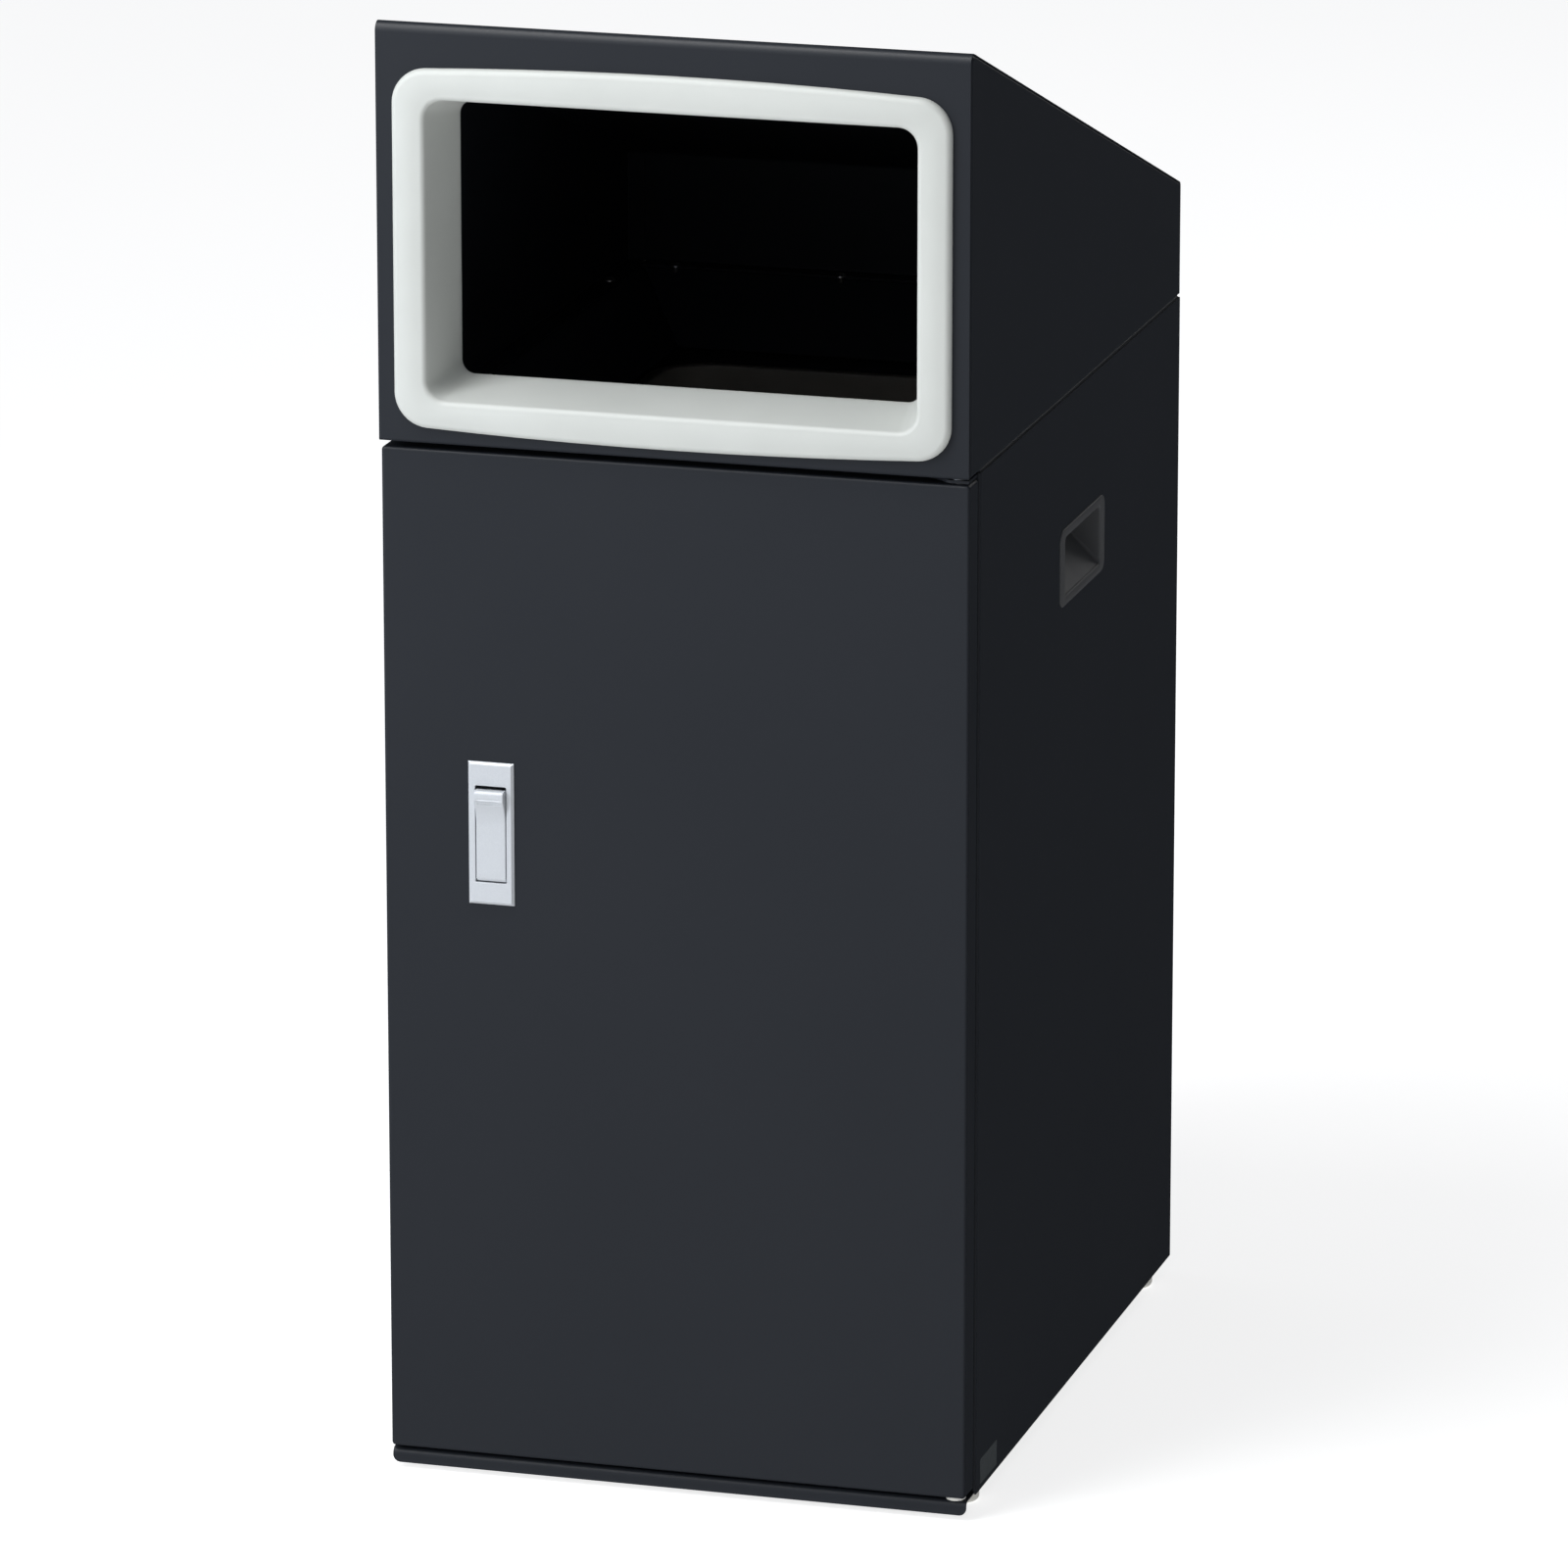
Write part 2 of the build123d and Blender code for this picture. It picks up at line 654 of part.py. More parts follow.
# ---------------------------------------------------------------- door
# The skin is a pan, open at the back, with narrow returns all round.
with BuildPart() as door_skin:
    with BuildSketch(Plane.XZ.offset(-door_front)):
        low_high_rectangle(door_half_width, door_bottom, door_top, 2.5)
    extrude(amount=-door_depth)
    fillet(door_skin.faces().sort_by(Axis.Y)[0].edges(), 2.0)
    offset(amount=-sheet, openings=door_skin.faces().sort_by(Axis.Y)[-1])
    door_middle = (door_bottom + door_top) / 2
    door_height = door_top - door_bottom
    with BuildSketch(Plane.XZ.offset(-door_back)):
        with Locations((0, door_middle)):
            RectangleRounded(2 * door_half_width - 0.4, door_height - 0.4, 2.3)
            Rectangle(
                2 * (door_half_width - door_return), door_height - 2 * door_return, mode=Mode.SUBTRACT
            )
    extrude(amount=sheet)
    with BuildSketch(Plane.XZ.offset(-door_front)):
        with Locations((latch_x, (latch_low + latch_high) / 2)):
            Rectangle(housing_width + 0.6, housing_high - housing_low + 0.6)
    extrude(amount=-3 * sheet, mode=Mode.SUBTRACT)
    with Locations((pivot_x, pivot_y)):
        Cylinder(pin_radius + 1.0, 3 * door_top, mode=Mode.SUBTRACT)
keep(door_skin, "door_skin")

# Hat-section stiffener up the middle of the skin.
with BuildPart() as door_stiffener:
    with BuildSketch(Plane.XY.offset(door_bottom + stiffener_end_gap)):
        skin = door_front + sheet + sheet / 2
        crest = skin + stiffener_depth
        folded_sheet(
            [(-5, skin), (10, skin), (14, crest), (56, crest), (60, skin), (75, skin)], bend
        )
    extrude(amount=door_height - 2 * stiffener_end_gap)
keep(door_stiffener, "door_stiffener")

# Plates inside the top and bottom edges carry the hinge pins' bores.
plate_thick = hinge_plate_thick
hinge_plates = (
    ("lower_door_hinge_plate", door_bottom + sheet),
    ("upper_door_hinge_plate", door_top - sheet - plate_thick),
)
for name, plate_low in hinge_plates:
    with BuildPart() as hinge_plate:
        with BuildSketch(Plane.XY.offset(plate_low)):
            with Locations((door_half_width - sheet - 1.4, door_front + sheet + 1.4)):
                Rectangle(hinge_plate_length, door_depth - 2 * sheet - 2.0, align=(Align.MAX, Align.MIN))
            with Locations((pivot_x, pivot_y)):
                Circle(pin_radius + running_play, mode=Mode.SUBTRACT)
        extrude(amount=plate_thick)
    keep(hinge_plate, name)

# ---------------------------------------------------------------- latch
# The bezel is a chamfered plate with a closed housing behind it. A ledge inside holds the
# top of the return spring, and a window in the left wall lets the bolt out.
plate_face = door_front - latch_proud
with BuildPart() as latch_bezel:
    with BuildSketch(Plane.XZ.offset(-door_front)):
        with Locations((latch_x, (latch_low + latch_high) / 2)):
            Rectangle(latch_width, latch_high - latch_low)
    extrude(amount=latch_proud)
    chamfer(latch_bezel.faces().sort_by(Axis.Y)[0].edges(), latch_chamfer)
    fillet(latch_bezel.faces().sort_by(Axis.Y)[0].edges(), latch_softening)
    with BuildSketch(Plane.XZ.offset(-door_front)):
        with Locations((latch_x, (housing_low + housing_high) / 2)):
            Rectangle(housing_width, housing_high - housing_low)
    extrude(amount=-(housing_back - door_front))
    with BuildSketch(Plane.XZ.offset(-door_front)):
        with Locations((latch_x, (housing_low + housing_high) / 2)):
            Rectangle(housing_width - 2 * housing_wall, housing_high - housing_low - 2 * housing_wall)
    extrude(amount=-(housing_back - door_front - housing_wall), mode=Mode.SUBTRACT)
    window_width, window_low, window_high = lever_window
    with BuildSketch(Plane.XZ.offset(-plate_face)):
        with Locations((latch_x, (window_low + window_high) / 2)):
            RectangleRounded(window_width, window_high - window_low, 1.0)
    extrude(amount=-(latch_proud + 1), mode=Mode.SUBTRACT)
    window_edges = latch_bezel.edges().group_by(Axis.Y)[0].filter_by(
        lambda edge: abs(edge.center().X - latch_x) < latch_width / 2 - 2 * latch_chamfer
        and latch_low + 2 * latch_chamfer < edge.center().Z < latch_high - 2 * latch_chamfer
    )
    fillet(window_edges, window_softening)
    with Locations((latch_x, spring_y, ledge_low + 1)):
        Box(housing_width - housing_wall, 12, 2)
    with Locations((latch_x - housing_width / 2, bolt_y, bolt_z)):
        Box(3 * housing_wall, bolt_thick + 0.8, bolt_height + 0.8, mode=Mode.SUBTRACT)
    with Locations(Location((latch_x, lever_pivot_y, lever_pivot_z), (0, 90, 0))):
        Cylinder(lever_pin_radius + running_play, housing_width + 2, mode=Mode.SUBTRACT)
    with Locations([(latch_x, clamp_screw_y, z) for z in (housing_low, housing_high)]):
        Cylinder(clamp_screw_radius + hole_play, 3 * housing_wall, mode=Mode.SUBTRACT)
keep(latch_bezel, "latch_bezel")

with BuildPart() as lever_pin:
    with Locations(Location((latch_x, lever_pivot_y, lever_pivot_z), (0, 90, 0))):
        Cylinder(lever_pin_radius, housing_width)
keep(lever_pin, "lever_pin")

# The lever: a flat face rising into a proud ridge, a barrel round its pin, and a tail with
# a ball that lifts in the bolt's slanted slot.
with BuildPart() as latch_lever:
    with BuildSketch(Plane.YZ.offset(latch_x - lever_width / 2)):
        with BuildLine():
            face_low = (plate_face, lever_pivot_z)
            sweep_start = (plate_face, 454.0)
            ridge_front = (plate_face - 5.2, 472.0)
            Line(face_low, sweep_start)
            TangentArc(sweep_start, ridge_front, tangent=(0, 1))
            ThreePointArc(ridge_front, (plate_face - 4.9, 476.6), (plate_face - 2.6, 478.6))
            Polyline(
                (plate_face - 2.6, 478.6),
                (plate_face + 1.6, 478.6),
                (plate_face + 3.4, 476.0),
                (plate_face + 3.4, lever_pivot_z),
                face_low,
            )
        make_face()
        with Locations((lever_pivot_y, lever_pivot_z)):
            Circle(lever_pivot_y - plate_face)
    extrude(amount=lever_width)
    with Locations((latch_x, lever_pivot_y + cam_arm / 2, lever_pivot_z)):
        Box(3.6, cam_arm, 3.0)
    with Locations((latch_x, lever_pivot_y + cam_arm, lever_pivot_z)):
        Sphere(cam_ball)
    with Locations(Location((latch_x, lever_pivot_y, lever_pivot_z), (0, 90, 0))):
        Cylinder(lever_pin_radius + running_play, lever_width + 2, mode=Mode.SUBTRACT)
keep(latch_lever, "latch_lever")

# The bolt: a block with the slanted slot, and a tongue that reaches behind the jamb.
with BuildPart() as latch_bolt:
    lift = cam_arm * sin(radians(lever_swing))
    slot_low = lever_pivot_z
    block_left = latch_x - housing_width / 2 + housing_wall + 0.4
    with BuildSketch(Plane.XZ.offset(-block_front)):
        with Locations((block_left, housing_low + housing_wall + 0.3)):
            Rectangle(block_width, block_height, align=Align.MIN)
        with Locations((latch_x - bolt_travel / 2, slot_low + lift / 2)):
            SlotCenterToCenter(
                (bolt_travel**2 + lift**2) ** 0.5,
                2 * cam_ball + 0.8,
                rotation=degrees(atan2(lift, -bolt_travel)),
                mode=Mode.SUBTRACT,
            )
    extrude(amount=-(bolt_y + bolt_thick / 2 - block_front))
    with Locations((bolt_end, bolt_y, bolt_z)):
        Box(block_left + 1 - bolt_end, bolt_thick, bolt_height,
            align=(Align.MIN, Align.CENTER, Align.CENTER))
    chamfer(latch_bolt.faces().sort_by(Axis.X)[0].edges().filter_by(Axis.Z).sort_by(Axis.Y)[-1], 1.2)
keep(latch_bolt, "latch_bolt")

with BuildPart() as lever_return_spring:
    spring_low = lever_pivot_z + 2.0
    with BuildLine() as coil_line:
        Helix(pitch=(ledge_low - spring_low - 0.6) / 8, height=ledge_low - spring_low - 0.6,
              radius=2.6, center=(latch_x, spring_y, spring_low))
    with BuildSketch(Plane(origin=coil_line.line @ 0, z_dir=coil_line.line % 0)):
        Circle(0.3)
    sweep(path=coil_line.line)
keep(lever_return_spring, "lever_return_spring")

# Angle clamps hold the bezel against the skin, each with a screw through the housing wall.
clamp_places = ((housing_high, 1), (housing_low, -1))
with BuildPart() as latch_clamps:
    for height, up in clamp_places:
        with Locations((latch_x, door_front + sheet, height + up * 1.0)):
            Box(20, 12, 2.0, align=(Align.CENTER, Align.MIN, Align.CENTER))
        with Locations((latch_x, door_front + sheet, height + up * 1.0)):
            Box(20, 2.0, 14, align=(Align.CENTER, Align.MIN, Align.MIN if up > 0 else Align.MAX))
        with Locations((latch_x, clamp_screw_y, height)):
            Cylinder(clamp_screw_radius + hole_play, 12, mode=Mode.SUBTRACT)
keep(latch_clamps, "latch_clamps")

clamp_screw = headed_pin(clamp_screw_radius, 3.2, 2.8, 1.6)
with BuildPart() as latch_clamp_screws:
    with Locations([Location((latch_x, clamp_screw_y, height + up * 2.0),
                             (0, 0, 0) if up > 0 else (180, 0, 0)) for height, up in clamp_places]):
        add(clamp_screw)
keep(latch_clamp_screws, "latch_clamp_screws")

# ---------------------------------------------------------------- keeper and bumpers on the jamb
with BuildPart() as latch_keeper:
    with Locations((keeper_x, jamb_back, bolt_z)):
        Box(16, keeper_thick, 44, align=(Align.CENTER, Align.MIN, Align.CENTER))
    with BuildSketch(Plane.XZ.offset(-jamb_back)):
        with Locations([(keeper_x, bolt_z + s * keeper_spacing / 2) for s in (-1, 1)]):
            Circle(screw_radius + hole_play)
    extrude(amount=-2 * keeper_thick, mode=Mode.SUBTRACT)
keep(latch_keeper, "latch_keeper")

keeper_screw = headed_pin(screw_radius, sheet + keeper_thick, 3.6, 1.6)
with BuildPart() as keeper_screws:
    with Locations([Location((keeper_x, jamb_back + keeper_thick, bolt_z + s * keeper_spacing / 2),
                             (-90, 0, 0)) for s in (-1, 1)]):
        add(keeper_screw)
keep(keeper_screws, "keeper_screws")

bumper_thick = body_front - door_back - 0.3
with BuildPart() as door_bumpers:
    with Locations([Location((-(half - 12), body_front, z), (90, 0, 0)) for z in (60, 660)]):
        Cylinder(5.0, bumper_thick, align=(Align.CENTER, Align.CENTER, Align.MIN))
    chamfer(door_bumpers.edges().group_by(Axis.Y)[0], 0.8)
keep(door_bumpers, "door_bumpers")

# ---------------------------------------------------------------- blank label low on the right side
with BuildPart() as blank_label:
    with BuildSketch(Plane.YZ.offset(half)):
        with Locations((label_y, label_z)):
            RectangleRounded(label_length, label_height, 1.0)
    extrude(amount=0.2)
keep(blank_label, "blank_label")

for piece in pieces:
    export_step(piece, f"parts/{piece.label}.step")
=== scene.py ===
import json
import math

import bpy
import numpy as np
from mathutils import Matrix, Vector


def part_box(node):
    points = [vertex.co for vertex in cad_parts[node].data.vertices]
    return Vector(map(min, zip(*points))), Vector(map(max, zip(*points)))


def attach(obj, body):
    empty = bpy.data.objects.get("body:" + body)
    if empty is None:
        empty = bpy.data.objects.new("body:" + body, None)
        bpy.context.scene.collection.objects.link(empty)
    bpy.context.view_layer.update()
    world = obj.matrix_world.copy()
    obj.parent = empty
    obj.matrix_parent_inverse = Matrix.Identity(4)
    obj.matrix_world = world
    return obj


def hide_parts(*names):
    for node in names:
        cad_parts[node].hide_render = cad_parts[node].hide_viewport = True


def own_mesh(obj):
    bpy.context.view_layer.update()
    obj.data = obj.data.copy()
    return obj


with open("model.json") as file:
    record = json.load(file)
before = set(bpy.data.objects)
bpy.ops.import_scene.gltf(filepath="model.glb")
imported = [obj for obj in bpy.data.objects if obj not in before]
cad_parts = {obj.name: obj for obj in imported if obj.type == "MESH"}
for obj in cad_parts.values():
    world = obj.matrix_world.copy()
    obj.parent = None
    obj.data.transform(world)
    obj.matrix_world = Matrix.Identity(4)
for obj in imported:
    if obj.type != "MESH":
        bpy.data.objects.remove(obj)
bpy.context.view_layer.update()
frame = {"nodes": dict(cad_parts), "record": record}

print("frame loaded:", len(frame["nodes"]), "nodes")

# the stage is a camera, a paper floor, three softboxes and a world

cameraSpot = {
    "place": (1.8763, -6.5277, 2.3061),   # metres, in front and to the right, above the hood
    "tiltDown": 15.53,                    # degrees below level
    "turn": 16.07,                        # degrees round from straight ahead
    "lens": 238.2,
    "sensor": 36.0,
}


def makeCamera(spot):
    data = bpy.data.cameras.new("stageCamera")
    data.lens = spot["lens"]
    data.sensor_width = spot["sensor"]
    data.clip_end = 60.0
    camera = bpy.data.objects.new("stageCamera", data)
    camera.location = spot["place"]
    camera.rotation_euler = (math.radians(90.0 - spot["tiltDown"]), 0.0, math.radians(spot["turn"]))
    bpy.context.scene.collection.objects.link(camera)
    bpy.context.scene.camera = camera


floorLook = {"halfSize": 30.0, "colour": (0.50, 0.50, 0.50), "glow": 0.80, "roughness": 0.9}


def makeFloor(look):
    s = look["halfSize"]
    mesh = bpy.data.meshes.new("studioFloor")
    mesh.from_pydata([(-s, -s, 0.0), (s, -s, 0.0), (s, s, 0.0), (-s, s, 0.0)], [], [(0, 1, 2, 3)])
    floor = bpy.data.objects.new("studioFloor", mesh)
    bpy.context.scene.collection.objects.link(floor)
    material = bpy.data.materials.new("floorPaper")
    material.use_nodes = True
    shader = material.node_tree.nodes["Principled BSDF"]
    shader.inputs["Base Color"].default_value = (*look["colour"], 1.0)
    shader.inputs["Roughness"].default_value = look["roughness"]
    shader.inputs["Emission Color"].default_value = (1.0, 1.0, 1.0, 1.0)
    shader.inputs["Emission Strength"].default_value = look["glow"]
    mesh.materials.append(material)
    floor.visible_glossy = False          # the paper is matt, and dark paint should not mirror it


softboxes = {                             # place, point aimed at, width, height, watts, colour
    "keyLight": ((-1.7, -2.3, 1.9), (0.0, -0.25, 0.55), 1.5, 1.8, 26.0, (1.0, 1.0, 1.0)),
    "topLight": ((-1.0, -1.7, 3.0), (0.0, -0.2, 0.9), 1.3, 1.3, 34.0, (1.0, 1.0, 1.0)),
    "edgeLight": ((-0.6, -0.75, 2.9), (0.0, -0.28, 0.95), 1.0, 0.25, 18.0, (1.0, 1.0, 1.0)),
    "sideFill": ((-0.95, -1.1, 0.8), (-0.2, -0.28, 0.6), 0.4, 1.4, 3.5, (0.80, 0.88, 1.0)),
    "backLight": ((0.9, 3.6, 2.4), (0.0, 0.2, 0.5), 2.4, 2.4, 16.0, (1.0, 1.0, 1.0)),
}


def makeSoftbox(name, place, target, width, height, watts, colour):
    data = bpy.data.lights.new(name, "AREA")
    data.shape = "RECTANGLE"
    data.size = width
    data.size_y = height
    data.energy = watts
    data.color = colour
    light = bpy.data.objects.new(name, data)
    light.location = place
    aim = np.array(target) - np.array(place)
    light.rotation_euler = (math.acos(-aim[2] / np.linalg.norm(aim)), 0.0, math.atan2(-aim[0], aim[1]))
    bpy.context.scene.collection.objects.link(light)


worldLook = {
    "seen": 1.0,                          # strength where the camera sees it
    "dim": 0.03, "bright": 0.50,          # strength as a light, away from and towards the key
    "horizon": -0.2,                      # facing value where the gradient starts
    "colour": (0.94, 0.98, 1.05),
    "towards": (-0.62, -0.72, 0.30),
}


def makeWorld(look):                      # white where the camera sees it, a soft gradient where it lights
    world = bpy.data.worlds.new("studioWorld")
    world.use_nodes = True
    nodes, links = world.node_tree.nodes, world.node_tree.links
    background = nodes["Background"]
    background.inputs["Color"].default_value = (*look["colour"], 1.0)
    direction = nodes.new("ShaderNodeTexCoord")
    facing = nodes.new("ShaderNodeVectorMath")
    facing.operation = "DOT_PRODUCT"
    facing.inputs[1].default_value = look["towards"]
    gradient = nodes.new("ShaderNodeMapRange")
    gradient.inputs["From Min"].default_value = look["horizon"]
    gradient.inputs["To Min"].default_value = look["dim"]
    gradient.inputs["To Max"].default_value = look["bright"]
    path = nodes.new("ShaderNodeLightPath")
    strength = nodes.new("ShaderNodeMapRange")
    strength.inputs["To Max"].default_value = look["seen"]
    links.new(direction.outputs["Generated"], facing.inputs[0])
    links.new(facing.outputs["Value"], gradient.inputs["Value"])
    links.new(gradient.outputs["Result"], strength.inputs["To Min"])
    links.new(path.outputs["Is Camera Ray"], strength.inputs["Value"])
    links.new(strength.outputs["Result"], background.inputs["Strength"])
    bpy.context.scene.world = world


makeCamera(cameraSpot)
makeFloor(floorLook)
for lightName, lightSpot in softboxes.items():
    makeSoftbox(lightName, *lightSpot)
makeWorld(worldLook)
bpy.context.scene.view_settings.view_transform = "Standard"
print("stage ready")

# every finish reads Object coordinates, in metres

def startMaterial(name):
    material = bpy.data.materials.new(name)
    material.use_nodes = True
    tree = material.node_tree
    place = tree.nodes.new("ShaderNodeTexCoord")
    return material, tree, tree.nodes["Principled BSDF"], place.outputs["Object"]


def noise(tree, place, scale, detail=3.0, stretch=None):
    # soft random field; stretch squeezes it along an axis for brushed or drawn marks
    if stretch:
        mapping = tree.nodes.new("ShaderNodeMapping")
        mapping.inputs["Scale"].default_value = stretch
        tree.links.new(place, mapping.inputs["Vector"])
        place = mapping.outputs["Vector"]
    node = tree.nodes.new("ShaderNodeTexNoise")
    node.inputs["Scale"].default_value = scale
    node.inputs["Detail"].default_value = detail
    tree.links.new(place, node.inputs["Vector"])
    return node.outputs["Fac"]


def ramp(tree, field, low, high, target, start=0.3, end=0.7):
    # a colour between low and high as the field goes from start to end
    node = tree.nodes.new("ShaderNodeValToRGB")
    node.color_ramp.elements[0].position = start
    node.color_ramp.elements[1].position = end
    node.color_ramp.elements[0].color = (*low, 1.0)
    node.color_ramp.elements[1].color = (*high, 1.0)
    tree.links.new(field, node.inputs["Fac"])
    tree.links.new(node.outputs["Color"], target)


def spread(tree, field, low, high, target, start=0.3, end=0.7):
    # a number between low and high as the field goes from start to end
    node = tree.nodes.new("ShaderNodeMapRange")
    node.inputs["From Min"].default_value = start
    node.inputs["From Max"].default_value = end
    node.inputs["To Min"].default_value = low
    node.inputs["To Max"].default_value = high
    tree.links.new(field, node.inputs["Value"])
    tree.links.new(node.outputs["Result"], target)


def bumps(tree, layers, target):
    # layers of (field, height in metres), each bump riding on the one before it
    normal = None
    for field, height in layers:
        node = tree.nodes.new("ShaderNodeBump")
        node.inputs["Distance"].default_value = height
        node.inputs["Strength"].default_value = 1.0
        tree.links.new(field, node.inputs["Height"])
        if normal:
            tree.links.new(normal, node.inputs["Normal"])
        normal = node.outputs["Normal"]
    tree.links.new(normal, target)


def finish(name, look):
    # colour and roughness wander between two values, and two noises give grain and waviness
    material, tree, shader, place = startMaterial(name)
    mottle = noise(tree, place, look["mottleScale"], 4.0)
    grain = noise(tree, place, look["grainScale"], 2.0)
    wave = noise(tree, place, look["waveScale"], 1.0)
    ramp(tree, mottle, look["low"], look["high"], shader.inputs["Base Color"])
    spread(tree, mottle, *look["rough"], shader.inputs["Roughness"])
    bumps(tree, [(wave, look["waveHeight"]), (grain, look["grainHeight"])], shader.inputs["Normal"])
    for socket, value in look.get("sockets", {}).items():
        shader.inputs[socket].default_value = value
    return material


finishes = {
    "charcoalPaint": {                    # semi-matt powder coat on sheet steel
        "low": (0.0155, 0.0180, 0.0228), "high": (0.0165, 0.0190, 0.0240),
        "mottleScale": 5.0, "rough": (0.40, 0.43),
        "grainScale": 1500.0, "grainHeight": 0.000012, "waveScale": 2.0, "waveHeight": 0.0002,
        "sockets": {"IOR": 1.45, "Specular IOR Level": 0.30},
    },
    "paleMoulding": {                     # off-white plastic with a fine spark-eroded grain
        "low": (0.520, 0.538, 0.515), "high": (0.550, 0.568, 0.545),
        "mottleScale": 14.0, "rough": (0.42, 0.50),
        "grainScale": 1300.0, "grainHeight": 0.00003, "waveScale": 8.0, "waveHeight": 0.0003,
        "sockets": {"IOR": 1.49, "Subsurface Weight": 0.04, "Subsurface Radius": (0.002, 0.002, 0.002)},
    },
    "handleMoulding": {                   # dark grey plastic of the carry handles
        "low": (0.060, 0.062, 0.066), "high": (0.068, 0.070, 0.074),
        "mottleScale": 40.0, "rough": (0.46, 0.56),
        "grainScale": 1400.0, "grainHeight": 0.00005, "waveScale": 12.0, "waveHeight": 0.0002,
        "sockets": {"IOR": 1.47},
    },
    "whiteNylon": {
        "low": (0.66, 0.65, 0.61), "high": (0.74, 0.73, 0.69),
        "mottleScale": 60.0, "rough": (0.38, 0.48),
        "grainScale": 1200.0, "grainHeight": 0.00004, "waveScale": 20.0, "waveHeight": 0.0002,
        "sockets": {"IOR": 1.53, "Subsurface Weight": 0.1, "Subsurface Radius": (0.003, 0.003, 0.002)},
    },
    "blackRubber": {
        "low": (0.016, 0.016, 0.017), "high": (0.024, 0.024, 0.025),
        "mottleScale": 120.0, "rough": (0.62, 0.74),
        "grainScale": 1600.0, "grainHeight": 0.00006, "waveScale": 60.0, "waveHeight": 0.0001,
    },
    "greyLabel": {                        # blank foil label
        "low": (0.050, 0.058, 0.062), "high": (0.060, 0.068, 0.072),
        "mottleScale": 200.0, "rough": (0.34, 0.42),
        "grainScale": 2500.0, "grainHeight": 0.00001, "waveScale": 60.0, "waveHeight": 0.0001,
    },
}


def silverCasting(name):
    # satin silver lacquer over a die casting: tiny flakes vary the colour, and the skin is slightly pebbled
    material, tree, shader, place = startMaterial(name)
    flake = noise(tree, place, 2600.0, 2.0)
    cloud = noise(tree, place, 30.0, 3.0)
    ramp(tree, flake, (0.53, 0.555, 0.585), (0.60, 0.625, 0.655), shader.inputs["Base Color"])
    spread(tree, cloud, 0.36, 0.44, shader.inputs["Roughness"])
    bumps(tree, [(cloud, 0.0002), (flake, 0.000012)], shader.inputs["Normal"])
    shader.inputs["Metallic"].default_value = 0.15
    return material


def zincSteel(name):
    # bright zinc plate: a pale grey with faint yellow and blue clouds and fine drawn lines
    material, tree, shader, place = startMaterial(name)
    cloud = noise(tree, place, 90.0, 4.0)
    lines = noise(tree, place, 500.0, 2.0, stretch=(1.0, 1.0, 0.1))
    ramp(tree, cloud, (0.48, 0.49, 0.52), (0.62, 0.60, 0.54), shader.inputs["Base Color"])
    spread(tree, lines, 0.26, 0.40, shader.inputs["Roughness"])
    bumps(tree, [(lines, 0.00003)], shader.inputs["Normal"])
    shader.inputs["Metallic"].default_value = 1.0
    return material


def smokedMoulding(name):
    # smoke-grey polypropylene that lets some light through, with drawn flow marks up its walls
    material, tree, shader, place = startMaterial(name)
    cloud = noise(tree, place, 16.0, 3.0)
    flow = noise(tree, place, 60.0, 2.0, stretch=(1.0, 1.0, 0.08))
    ramp(tree, cloud, (0.36, 0.33, 0.29), (0.42, 0.39, 0.345), shader.inputs["Base Color"])
    spread(tree, cloud, 0.30, 0.38, shader.inputs["Roughness"])
    bumps(tree, [(flow, 0.0001)], shader.inputs["Normal"])
    shader.inputs["Transmission Weight"].default_value = 0.35
    shader.inputs["IOR"].default_value = 1.49
    return material


materials = {name: finish(name, look) for name, look in finishes.items()}
materials["silverCasting"] = silverCasting("silverCasting")
materials["zincSteel"] = zincSteel("zincSteel")
materials["smokedMoulding"] = smokedMoulding("smokedMoulding")

slotFinish = {                            # the record's slots and the finish that each one gets
    "charcoal_paint": "charcoalPaint",
    "pale_moulding": "paleMoulding",
    "handle_moulding": "handleMoulding",
    "pail_moulding": "smokedMoulding",
    "white_nylon": "whiteNylon",
    "silver_casting": "silverCasting",
    "zinc_steel": "zincSteel",
    "black_rubber": "blackRubber",
    "grey_label": "greyLabel",
}


def dressFrame():
    # every CAD node keeps its shape and takes the finish of its slot in the record
    for row in frame["record"]["subparts"]:
        for place in frame["nodes"][row["node"]].material_slots:
            place.material = materials[slotFinish[row["material_slot"]]]


dressFrame()
print("finishes on", len(frame["nodes"]), "nodes")


# new surfaces are rings of points stacked along a profile, worked out as whole arrays

def arc(centre, radius, start, end, steps):
    # steps + 1 points on a circle about centre, from start to end degrees
    angle = np.radians(np.linspace(start, end, steps + 1))
    return np.stack([centre[0] + radius * np.cos(angle), centre[1] + radius * np.sin(angle)], -1)


